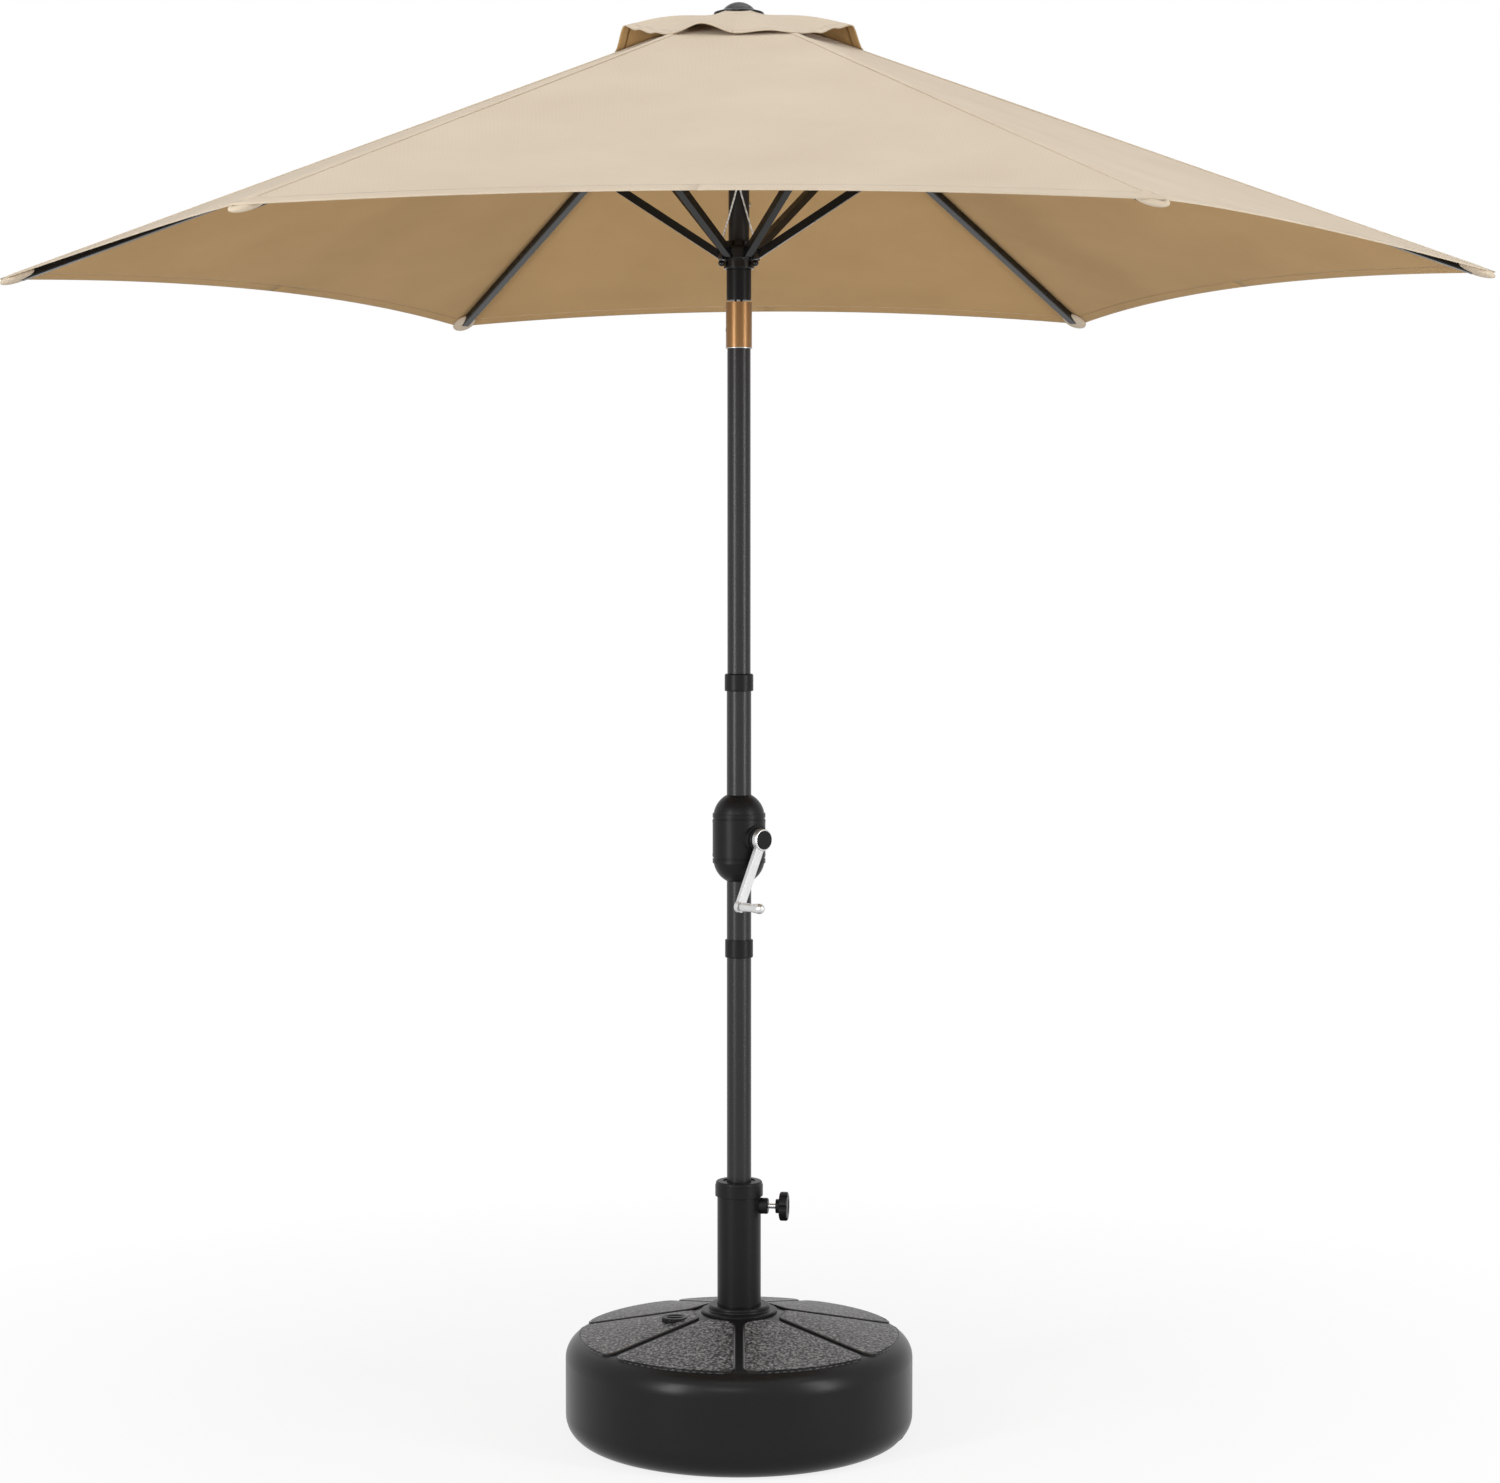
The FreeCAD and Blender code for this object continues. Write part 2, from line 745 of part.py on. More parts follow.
def clamp():
    screw = d.screw_diameter / 2
    nut_radius = d.nut_diameter / 2
    nut = turned([
        (tube_radius - 8, screw + d.run_gap),
        (d.nut_reach, screw + d.run_gap),
        (d.nut_reach, nut_radius - 1.5),
        (d.nut_reach - 1.5, nut_radius),
        (tube_radius - 8, nut_radius),
    ], about="H_Axis")
    place(nut, z=d.knob_height)
    low, high = d.knob_height - 2 * nut_radius, d.knob_height + 2 * nut_radius
    tube_room = upright(tube_radius + d.run_gap, low, high)
    saddle = cut(nut, tube_room)
    node(place(saddle, turn=d.knob_turn_angle), "clamp_nut")

    stem = turned([
        (pole_radius + d.body_gap, 0),
        (pole_radius + d.body_gap, screw - 1),
        (pole_radius + d.body_gap + 1, screw),
        (d.knob_start + 6, screw),
        (d.knob_start + 6, 0),
    ], about="H_Axis")
    node(place(stem, z=d.knob_height, turn=d.knob_turn_angle), "clamp_screw")

    rim = d.knob_diameter / 2
    hub = d.knob_hub_diameter / 2
    far = d.knob_start + d.knob_thickness
    disc = turned([
        (d.knob_hub_start, screw + d.seat_gap),
        (d.knob_start + 6 + d.seat_gap, screw + d.seat_gap),
        (d.knob_start + 6 + d.seat_gap, 0),
        (far - 1, 0),
        (far - 1, rim - 12),
        (far, rim - 10),
        (far, rim - 3),
        (far - 3, rim, 3),
        (d.knob_start + 3, rim),
        (d.knob_start, rim - 3, 3),
        (d.knob_start, hub),
        (d.knob_hub_start, hub),
    ], about="H_Axis")
    scallops = []
    for turn in around(d.knob_lobes):
        reach = rim + d.knob_scallop * 0.55
        scallops.append(rod(d.knob_scallop, d.knob_start - 1, far + 1,
                            y=reach * cosine(turn), z=reach * sine(turn)))
    knob = cut(disc, group(scallops))
    node(place(knob, z=d.knob_height, turn=d.knob_turn_angle), "clamp_knob")


def fill_cap():
    floor = tank_top(d.fill_radius) - d.fill_recess_depth
    radius = d.fill_cap_diameter / 2
    neck = d.fill_neck_diameter / 2
    top = floor + d.soft_gap + d.fill_cap_height
    disc = turned([
        (0, floor - 8),
        (neck, floor - 8),
        (neck, floor + d.soft_gap),
        (radius, floor + d.soft_gap),
        (radius, top - 2.5),
        (radius - 2.5, top, 2.5),
        (radius - 7, top),
        (radius - 8, top - 1.5),
        (0, top - 1.5),
    ])
    grip = block((-radius + 8.5, radius - 8.5), (-2.5, 2.5), (top - 2, top))
    notches = [
        upright(1.6, floor - 1, top + 1, (radius + 0.8) * cosine(turn), (radius + 0.8) * sine(turn))
        for turn in around(18)
    ]
    whole = cut(fuse(disc, grip), group(notches))
    angle = d.fill_turn_angle + d.base_turn
    place(whole, d.fill_radius * cosine(angle), d.fill_radius * sine(angle))
    node(whole, "fill_cap")


# mast
def poles():
    foot = d.well_floor + d.seat_floor + d.body_gap
    inside = pole_radius - d.pole_wall
    node(tube(pole_radius, inside, foot + 4, d.lower_pole_top), "lower_pole")
    plug = turned([
        (0, foot),
        (pole_radius, foot),
        (pole_radius, foot + 4),
        (inside - d.seat_gap, foot + 4),
        (inside - d.seat_gap, foot + 26),
        (0, foot + 26),
    ])
    node(plug, "pole_foot")
    shaft_hole = rod(d.shaft_diameter / 2 + d.body_gap, 0, pole_radius + 5, z=d.crank_height)
    stub_hole = rod(d.stub_diameter / 2 + d.run_gap, -pole_radius - 5, 0, z=d.crank_height)
    crank_pole = cut(tube(pole_radius, inside, d.lower_pole_top, d.crank_pole_top), shaft_hole, stub_hole)
    node(place(crank_pole, turn=d.crank_turn_angle), "crank_pole")
    mid_radius = d.mid_pole_diameter / 2
    low = d.crank_pole_top - d.mid_pole_overlap
    node(tube(mid_radius, mid_radius - d.mid_pole_wall, low, d.mid_pole_top), "mid_pole")
    sleeve = tube(inside - d.seat_gap, inside - d.seat_gap - d.joiner_wall,
                  d.lower_pole_top - d.joiner_reach, d.lower_pole_top + d.joiner_reach)
    node(sleeve, "pole_joiner")


def collars():
    bore = pole_radius + d.seat_gap
    half = d.joint_collar_height / 2
    low, high = d.lower_pole_top - half, d.lower_pole_top + half
    outer = d.joint_collar_diameter / 2
    joint = turned([
        (bore, low), (outer - 1.5, low), (outer, low + 1.5, 1.5), (outer, high - 1.5),
        (outer - 1.5, high, 1.5), (bore, high),
    ])
    node(joint, "joint_collar")
    low, high = d.upper_collar_bottom, d.upper_collar_top
    outer = d.upper_collar_diameter / 2
    mid = d.mid_pole_diameter / 2 + d.seat_gap
    upper = turned([
        (bore, low), (outer - 1.5, low), (outer, low + 1.5, 1.5), (outer, high - 3),
        (outer - 3, high, 3), (mid, high), (mid, d.crank_pole_top + d.seat_gap),
        (bore, d.crank_pole_top + d.seat_gap),
    ])
    node(upper, "upper_collar")


def housing():
    """A capsule round the pole in two shells, split across the crank's axis."""
    radius = d.housing_diameter / 2
    bore = pole_radius + d.seat_gap
    inner = radius - d.housing_wall
    half = d.housing_length / 2
    dome = radius - d.band_proud
    rise = root(dome * dome - bore * bore)
    inner_rise = root(inner * inner - bore * bore)
    straight = half - rise
    middle = d.crank_height
    band_end = straight + d.band_width
    dome_edge = root(dome * dome - d.band_width * d.band_width)
    groove_start = straight - d.groove_width
    step = radius - d.groove_depth
    outline = [
        (bore, middle - half),
        (dome_edge, middle - band_end, dome),
        (radius, middle - band_end),
        (radius, middle - straight),
        (step, middle - straight),
        (step, middle - groove_start),
        (radius, middle - groove_start),
        (radius, middle + groove_start),
        (step, middle + groove_start),
        (step, middle + straight),
        (radius, middle + straight),
        (radius, middle + band_end),
        (dome_edge, middle + band_end),
        (bore, middle + half, dome),
        (bore, middle + straight + inner_rise),
        (inner, middle + straight, -inner),
        (inner, middle - straight),
        (bore, middle - straight - inner_rise, -inner),
    ]
    shell = turned(outline)
    pole_room = upright(bore, middle - half, middle + half)
    shaft_room = rod(d.shaft_diameter / 2 + d.body_gap, 0, d.pad_reach + 1, z=middle)
    pad = cut(rod(d.pad_diameter / 2, bore + 5, d.pad_reach, z=middle), pole_room)
    far = radius + 5
    spots = [(side * d.post_offset, middle + rise_sign * d.post_rise)
             for side in (-1, 1) for rise_sign in (-1, 1)]
    reach = root(inner * inner - d.post_offset * d.post_offset)
    shank = group([rod(2, -radius, reach - 4, y=y, z=z) for y, z in spots])
    front_posts = [rod(d.post_diameter / 2, 0, reach, y=y, z=z) for y, z in spots]
    back_posts = [rod(d.post_diameter / 2, -reach, 0, y=y, z=z) for y, z in spots]
    head_room = group([rod(3.6, -far, 6 - reach, y=y, z=z) for y, z in spots])
    front_half = block((d.seam_gap, far + 20), (-far, far), (middle - half - 1, middle + half + 1))
    back_half = block((-far, -d.seam_gap), (-far, far), (middle - half - 1, middle + half + 1))
    front = cut(common(fuse(shell, pad, *front_posts), front_half), shank, shaft_room)
    back = cut(common(fuse(shell, *back_posts), back_half), shank, head_room)
    node(place(front, turn=d.crank_turn_angle), "housing_front")
    node(place(back, turn=d.crank_turn_angle), "housing_back")
    screws = []
    for y, z in spots:
        shaft = rod(1.9, 6 - reach, reach - 6, y=y, z=z)
        head = rod(3.3, 3 - reach, 6 - reach, y=y, z=z)
        screws.append(fuse(shaft, head))
    node(place(group(screws), turn=d.crank_turn_angle), "housing_screws")
    bezel_radius = d.bezel_diameter / 2
    shaft = d.shaft_diameter / 2
    near = d.pad_reach
    bezel = turned([
        (near, shaft + d.run_gap),
        (near + d.bezel_thickness, shaft + d.run_gap),
        (near + d.bezel_thickness, bezel_radius - 2),
        (near + d.bezel_thickness - 2, bezel_radius, 2),
        (near, bezel_radius),
    ], about="H_Axis")
    node(place(bezel, z=middle, turn=d.crank_turn_angle), "crank_bezel")


def crank():
    shaft = d.shaft_diameter / 2
    half = d.spool_half_width
    flange = d.spool_flange_diameter / 2
    core = flange - d.cord_diameter * 0.9
    spool = turned([
        (-pole_radius - 0.5, 0),
        (-pole_radius - 0.5, d.stub_diameter / 2),
        (-half, d.stub_diameter / 2),
        (-half, flange),
        (-half + d.spool_flange, flange),
        (-half + d.spool_flange, core),
        (half - d.spool_flange, core),
        (half - d.spool_flange, flange),
        (half, flange),
        (half, shaft),
        (d.boss_start, shaft),
        (d.boss_start, 0),
    ], about="H_Axis")
    node(place(spool, z=d.crank_height, turn=d.crank_turn_angle), "cord_spool")

    start = d.boss_start
    end = start + d.boss_thickness
    radius = d.boss_diameter / 2
    boss = turned([
        (start, 0), (end, 0), (end, radius - 2), (end - 2, radius, 2), (start + 1, radius),
        (start, radius - 1, 1),
    ], about="H_Axis")
    across = -d.arm_length * sine(d.arm_angle)
    down = -d.arm_length * cosine(d.arm_angle)
    low, high = start + 1, start + 1 + d.arm_thickness
    lever = block((low, high), (-d.arm_width / 2, d.arm_width / 2), (-d.arm_length, 0))
    place(lever, low, -d.arm_width / 2 * cosine(d.arm_angle) + across,
          d.arm_width / 2 * sine(d.arm_angle) + down, -d.arm_angle, (1, 0, 0))
    end_disc = rod(d.arm_end_diameter / 2, low, high, y=across, z=down)
    pin = rod(d.grip_pin_diameter / 2, high - 2, high + d.grip_length - 5, y=across, z=down)
    arm = fuse(boss, lever, end_disc, pin)
    node(place(arm, z=d.crank_height, turn=d.crank_turn_angle), "crank_arm")

    cap = turned([
        (end, 0), (end + d.boss_cap_thickness, 0),
        (end + d.boss_cap_thickness, d.boss_cap_diameter / 2 - 1.5),
        (end + d.boss_cap_thickness - 1.5, d.boss_cap_diameter / 2, 1.5),
        (end, d.boss_cap_diameter / 2),
    ], about="H_Axis")
    node(place(cap, z=d.crank_height, turn=d.crank_turn_angle), "crank_cap")

    near = high + d.body_gap
    far = near + d.grip_length
    grip_radius = d.grip_diameter / 2
    hole = d.grip_pin_diameter / 2 + d.run_gap
    grip = turned([
        (near, hole),
        (near, grip_radius - 3),
        (near + 3, grip_radius - 1, -4),
        (near + d.grip_length / 2, grip_radius - 1.6, -400),
        (far - 8, grip_radius),
        (far, 0, -9),
        (far - 4, 0),
        (far - 4, hole),
    ], about="H_Axis")
    turn = d.crank_turn_angle
    place(grip, -across * sine(turn), across * cosine(turn), d.crank_height + down, turn)
    node(grip, "crank_grip")


# tilt joint
def cord_room(low, high):
    half = d.cord_diameter + 0.8
    return block((-half, half), (-d.cord_front - 2, -d.cord_front + 1.9), (low, high))


def tilt_joint():
    height = d.tilt_height
    pin = d.tilt_pin_diameter / 2
    plug = d.mid_pole_diameter / 2 - d.mid_pole_wall - d.seat_gap
    body_radius = sleeve_bore - d.body_gap
    half = d.tongue_thickness / 2
    stem = turned([
        (0, d.mid_pole_top - d.fork_plug_depth),
        (plug, d.mid_pole_top - d.fork_plug_depth),
        (plug, d.mid_pole_top),
        (body_radius, d.mid_pole_top),
        (body_radius, d.fork_shoulder),
        (0, d.fork_shoulder),
    ])
    cheek_blank = fuse(
        block((-d.cheek_reach, d.cheek_reach), (-d.cheek_half_depth, d.cheek_half_depth),
              (d.fork_shoulder - 1, height)),
        rod(d.cheek_half_depth, -d.cheek_reach, d.cheek_reach, z=height),
    )
    gap = block((-half - d.body_gap, half + d.body_gap), (-30, 30),
                (height - d.tongue_half_depth - 1, height + 20))
    button_room = rod(d.button_diameter / 2 + 1.3, -body_radius - 2, -6, z=d.button_height)
    pin_hole = rod(pin, -30, 30, z=height)
    fork = cut(fuse(stem, cheek_blank), gap, button_room, pin_hole,
               cord_room(d.mid_pole_top - d.fork_plug_depth - 1, height))
    node(fork, "tilt_fork")

    pin_half = d.tilt_pin_length / 2
    tilt_pin = turned([
        (-pin_half, 0), (-pin_half, pin - 0.5), (0.5 - pin_half, pin), (pin_half - 0.5, pin),
        (pin_half, pin - 0.5), (pin_half, 0),
    ], about="H_Axis")
    node(place(tilt_pin, z=height), "tilt_pin")

    # The back of the sleeve is scooped out so that the knuckle can lean over it.
    clear_radius = d.knuckle_bottom - height - 0.8
    scoop = cut(block((-30, 30), (0, 30), (height - 1, d.tilt_sleeve_top + 5)),
                rod(clear_radius, -31, 31, z=height))
    shell = tube(d.tilt_sleeve_diameter / 2, sleeve_bore, d.tilt_sleeve_bottom, d.tilt_sleeve_top)
    window = rod(d.button_diameter / 2 + d.body_gap, -30, 0, z=d.button_height)
    node(cut(shell, scoop, window), "tilt_sleeve")

    face = -(d.tilt_sleeve_diameter / 2 + d.button_proud)
    lip = -body_radius + 0.4
    radius = d.button_diameter / 2
    button = turned([
        (face, 0), (lip + 5, 0), (lip + 5, 2.2), (lip + 1.5, 2.2), (lip + 1.5, radius + 1),
        (lip, radius + 1), (lip, radius), (face + 0.8, radius), (face, radius - 0.8),
    ], about="H_Axis")
    node(place(button, z=d.button_height), "tilt_button")

    # The spring is drawn as closed coils: rings of wire side by side.
    coil_start = lip + 1.5 + d.soft_gap
    pitch = (-6 - d.soft_gap - coil_start) / d.spring_turns
    outer = d.button_diameter / 2
    inner = outer - d.spring_wire
    count = int(d.spring_turns.value)
    outline = [(coil_start, inner)]
    outline.append((coil_start + pitch * count, inner))
    outline.append((coil_start + pitch * count, outer - 0.2))
    for turn in range(count, 0, -1):
        outline.append((coil_start + pitch * (turn - 1), outer - 0.2, pitch * 0.55))
    node(place(turned(outline, about="H_Axis"), z=d.button_height), "button_spring")

    top_bore = d.top_pole_diameter / 2 + d.seat_gap
    floor = d.knuckle_bottom + d.knuckle_floor
    outer = d.knuckle_diameter / 2
    knuckle = turned([
        (0, d.knuckle_bottom), (outer - 1, d.knuckle_bottom), (outer, d.knuckle_bottom + 1, 1),
        (outer, d.knuckle_top - 1), (outer - 1, d.knuckle_top, 1), (top_bore, d.knuckle_top),
        (top_bore, floor), (0, floor),
    ])
    depth = d.tongue_half_depth
    tongue = fuse(
        knuckle,
        block((-half, half), (-depth, depth), (height, d.knuckle_bottom + 2)),
        rod(depth, -half, half, z=height),
    )
    eye = rod(pin + d.run_gap, -half - 1, half + 1, z=height)
    node(cut(tongue, eye, cord_room(height, floor + 1)), "tilt_knuckle")


# upper mast
def upper_mast():
    radius = d.top_pole_diameter / 2
    low = d.knuckle_bottom + d.knuckle_floor
    pole = tube(radius, radius - d.top_pole_wall, low, d.top_pole_top)
    half = d.guide_width / 2
    slot = block((-half - 0.6, half + 0.6), (-radius - 2, 0), (d.guide_height - 9, d.guide_height + 10))
    pin_hole = rod(d.guide_pin_diameter / 2, -radius, radius, y=-d.guide_offset, z=d.guide_height)
    screw_hole = rod(d.stop_screw_shank / 2, 0, radius + 1, z=d.stop_screw_height)
    node(cut(pole, slot, pin_hole, screw_hole), "top_pole")
    rim = d.guide_diameter / 2
    guide = turned([
        (-half, 0), (half, 0), (half, rim + 1), (half - 0.8, rim + 1), (half - 0.8, rim),
        (0.8 - half, rim), (0.8 - half, rim + 1), (-half, rim + 1),
    ], about="H_Axis")
    pin = rod(d.guide_pin_diameter / 2, -radius + 5, radius - 5)
    whole = fuse(guide, pin)
    node(place(whole, y=-d.guide_offset, z=d.guide_height), "cord_guide")
    head = d.stop_screw_diameter / 2
    shank = d.stop_screw_shank / 2
    screw = turned([
        (radius - d.top_pole_wall - 3, 0), (radius - d.top_pole_wall - 3, shank), (radius, shank),
        (radius, head), (radius + 1, head), (radius + 2.4, 0, -6),
    ], about="H_Axis")
    node(place(screw, z=d.stop_screw_height), "stop_screw")


def crown():
    radius = d.hub_diameter / 2
    socket = d.hub_socket_diameter / 2
    bore = d.top_pole_diameter / 2 + d.seat_gap
    stud = d.finial_stud_diameter / 2
    blank = turned([
        (bore, d.hub_socket_bottom), (socket, d.hub_socket_bottom), (socket, d.hub_bottom),
        (radius - 2, d.hub_bottom), (radius, d.hub_bottom + 2, 2), (radius, d.hub_top - 2),
        (radius - 2, d.hub_top, 2), (stud + d.seat_gap, d.hub_top),
        (stud + d.seat_gap, d.top_pole_top + d.seat_gap), (bore, d.top_pole_top + d.seat_gap),
    ])
    half = d.rib_tongue_width / 2 + d.body_gap
    slots, pins, pin_rooms = [], [], []
    for turn in rib_turns:
        slots.append(place(block((0, radius + 5), (-half, half), (d.hub_bottom - 5, d.hub_top + 5)),
                           turn=turn))
        offset_x = socket * cosine(turn) + half * sine(turn)
        offset_y = socket * sine(turn) - half * cosine(turn)
        bind(slots[-1], "Placement.Base.x", offset_x)
        bind(slots[-1], "Placement.Base.y", offset_y)
        bind(slots[-1], "Placement.Base.z", d.hub_bottom - 5)
        pin_length = d.hinge_pin_length / 2
        pin = bar(pin_radius, pin_length, d.rib_hinge_radius, rib_hinge_height)
        room = bar(pin_radius + 0.02, pin_length + 0.1, d.rib_hinge_radius, rib_hinge_height)
        pins.append(place(group([pin]), turn=turn))
        pin_rooms.append(place(group([room]), turn=turn))
    node(cut(blank, group(slots), group(pin_rooms)), "crown_hub")
    node(group(pins), "crown_pins")

    flange = d.finial_flange_diameter / 2
    dome = d.finial_dome_diameter / 2
    cloth_top = d.cloth_line_height + 2 * d.cloth_thickness + d.vent_rise + d.soft_gap
    edge_low = cloth_top - d.rib_slope * flange
    neck = cloth_top - d.rib_slope * (stud + 1)
    dome_low = edge_low + 6.5
    rise = d.finial_top - dome_low
    dome_radius = (dome * dome + rise * rise) / (2 * rise)
    finial = turned([
        (0, d.top_pole_top + 1),
        (stud, d.top_pole_top + 1),
        (stud, neck),
        (flange, edge_low),
        (flange, edge_low + 1.5),
        (flange - 1.5, edge_low + 3, 1.5),
        (dome, dome_low),
        (0, d.finial_top, dome_radius),
    ])
    node(finial, "finial")


def rib(turn, label):
    """A square tube hinged at the hub, with a forked bracket under it for its strut."""
    half_width, half_depth = d.rib_width / 2, d.rib_depth / 2
    length = (d.rib_end_radius - d.rib_hinge_radius) / rib_cosine
    begin = d.rib_tongue_length - 2
    wall = d.rib_wall
    outer = block((begin, length), (-half_width, half_width), (-half_depth, half_depth))
    rounded = document.addObject("Part::Fillet", new_name("Fillet"))
    rounded.Base = outer
    document.recompute()
    long_edges = [
        (index, 2.0, 2.0) for index, edge in enumerate(outer.Shape.Edges, start=1)
        if edge.Length > (length.value - begin.value) * 0.9
    ]
    rounded.Edges = long_edges
    hollow = block((begin + 12, length - 3), (wall - half_width, half_width - wall),
                   (wall - half_depth, half_depth - wall))
    tongue_half, eye = d.rib_tongue_width / 2, d.rib_tongue_depth / 2
    tongue = block((0, begin + 1), (-tongue_half, tongue_half), (-eye, eye))
    eye_disc = bar(eye, tongue_half)
    ear_in = d.strut_width / 2 + d.body_gap
    ear_out = ear_in + d.bracket_wall
    reach = d.bracket_length / 2
    bottom = -d.bracket_drop - 6
    ears = [
        block((bracket_along - reach, bracket_along + reach), side, (bottom, 0))
        for side in ((-ear_out, -ear_in), (ear_in, ear_out))
    ]
    pin_room = bar(pin_radius + d.run_gap, ear_out + 1, bracket_along, -d.bracket_drop)
    hinge_room = bar(pin_radius + d.run_gap, tongue_half + 1)
    solid = fuse(cut(rounded, hollow), tongue, eye_disc, *ears)
    straight = cut(solid, pin_room, hinge_room)
    sloped = place(group([straight]), d.rib_hinge_radius, 0, rib_hinge_height, rib_angle, (0, 1, 0))
    node(place(group([sloped]), turn=turn), label)


def strut(turn, label):
    """A square tube from the rib's bracket to the runner, with a rivet through each end."""
    run = d.bracket_radius - d.runner_pivot_radius
    climb = bracket_height - d.runner_pivot_height
    length = root(run * run + climb * climb)
    angle = arctangent(climb / run)
    half = d.strut_width / 2
    wall = d.strut_wall
    outer = block((0, length), (-half, half), (-half, half))
    hollow = block((14, length - 14), (wall - half, half - wall), (wall - half, half - wall))
    ends = [bar(half, half, x) for x in (0, length)]
    low_pin = bar(pin_radius, half + d.body_gap + d.runner_ear - 0.2, 0)
    high_pin = bar(pin_radius, half + d.body_gap + d.bracket_wall + 0.8, length)
    solid = fuse(cut(outer, hollow), *ends, low_pin, high_pin)
    sloped = place(group([solid]), d.runner_pivot_radius, 0, d.runner_pivot_height, -angle, (0, 1, 0))
    node(place(group([sloped]), turn=turn), label)


def runner():
    """Slides on the upper mast. Each strut rivet sits in a notch that is open below."""
    bore = d.runner_bore_diameter / 2
    ring = d.runner_ring_diameter / 2
    crown_radius = d.runner_crown_diameter / 2
    blank = turned([
        (bore, d.runner_bottom), (ring - 1, d.runner_bottom), (ring, d.runner_bottom + 1, 1),
        (ring, d.runner_crown_bottom), (crown_radius - 2, d.runner_crown_bottom),
        (crown_radius, d.runner_crown_bottom + 2, 2), (crown_radius, d.runner_crown_top - 4),
        (crown_radius - 4, d.runner_crown_top, 4), (ring + 2, d.runner_crown_top),
        (ring, d.runner_crown_top + 2, -2), (ring, d.runner_top - 1), (ring - 1, d.runner_top, 1),
        (bore, d.runner_top),
    ])
    half = d.strut_width / 2 + d.body_gap
    notch = pin_radius + d.body_gap
    ear = half + d.runner_ear
    tools = []
    for turn in rib_turns:
        slot = block((ring - 0.1, crown_radius + 5), (-half, half),
                     (d.runner_crown_bottom - 5, d.runner_crown_top + 9))
        seat = bar(notch, ear, d.runner_pivot_radius, d.runner_pivot_height)
        way_out = block((d.runner_pivot_radius - notch, d.runner_pivot_radius + notch + d.notch_flare),
                        (-ear, ear), (d.runner_crown_bottom - 1, d.runner_pivot_height))
        tools.append(place(group([slot, seat, way_out]), turn=turn))
    cord_holes = [
        upright(d.cord_diameter / 2 + 0.5, d.runner_crown_bottom - 1, d.runner_crown_top + 1,
                side * d.cord_spread, -d.cord_runner_front)
        for side in (-1, 1)
    ]
    node(cut(blank, *tools, *cord_holes), "runner")


# lift cord
def lift_cord():
    thick = d.cord_diameter.value
    side_step = thick / 2 + 0.15
    front = -d.cord_front.value
    spool = d.spool_flange_diameter.value / 2 - thick * 0.4
    turn = math.radians(d.crank_turn_angle.value)
    lower, upper, loop, beads = [], [], [], []
    wrap = d.guide_diameter.value / 2 + thick / 2 + 0.05
    guide_y, guide_z = -d.guide_offset.value, d.guide_height.value
    for side in (-1, 1):
        x = side * side_step
        along = side * side_step
        start = Vector(
            along * math.cos(turn) + spool * math.sin(turn),
            along * math.sin(turn) - spool * math.cos(turn),
            d.crank_height.value,
        )
        lower.append(cord_tube([
            start,
            start + Vector(0, 0, 330),
            Vector(x, front, d.mid_pole_top.value - 70),
            Vector(x, front, d.tilt_height.value - 2),
        ], thick))
        rear = guide_y + wrap
        rise = cord_tube([
            Vector(x, front, d.tilt_height.value + 2),
            Vector(x, front, d.knuckle_top.value + 20),
            Vector(x, rear, guide_z - 45),
            Vector(x, rear, guide_z),
        ], thick)
        over = Part.Wire(Part.makeCircle(thick / 2, Vector(x, rear, guide_z), Vector(0, 0, 1)))
        face = Part.Face(over)
        bend = face.revolve(Vector(x, guide_y, guide_z), Vector(1, 0, 0), 180)
        upper.append(rise.fuse(bend).removeSplitter())
        exit_y = guide_y - wrap
        bead_top = d.runner_crown_bottom.value - d.soft_gap.value
        spread, reach = side * d.cord_spread.value, -d.cord_runner_front.value
        loop.append(cord_tube([
            Vector(x, exit_y, guide_z - d.soft_gap.value),
            Vector(x + side * 0.6, exit_y - 0.3, guide_z - 6),
            Vector(spread, reach, d.runner_crown_top.value + 6),
            Vector(spread, reach, bead_top),
        ], thick))
        radius = d.bead_diameter.value / 2
        beads.append(Part.makeSphere(radius, Vector(spread, reach, bead_top - radius)))
    node(made(Part.makeCompound(lower)), "lift_cord_lower")
    node(made(Part.makeCompound(upper)), "lift_cord_upper")
    node(made(Part.makeCompound(loop)), "lift_cord_loop")
    node(made(Part.makeCompound(beads)), "cord_beads")


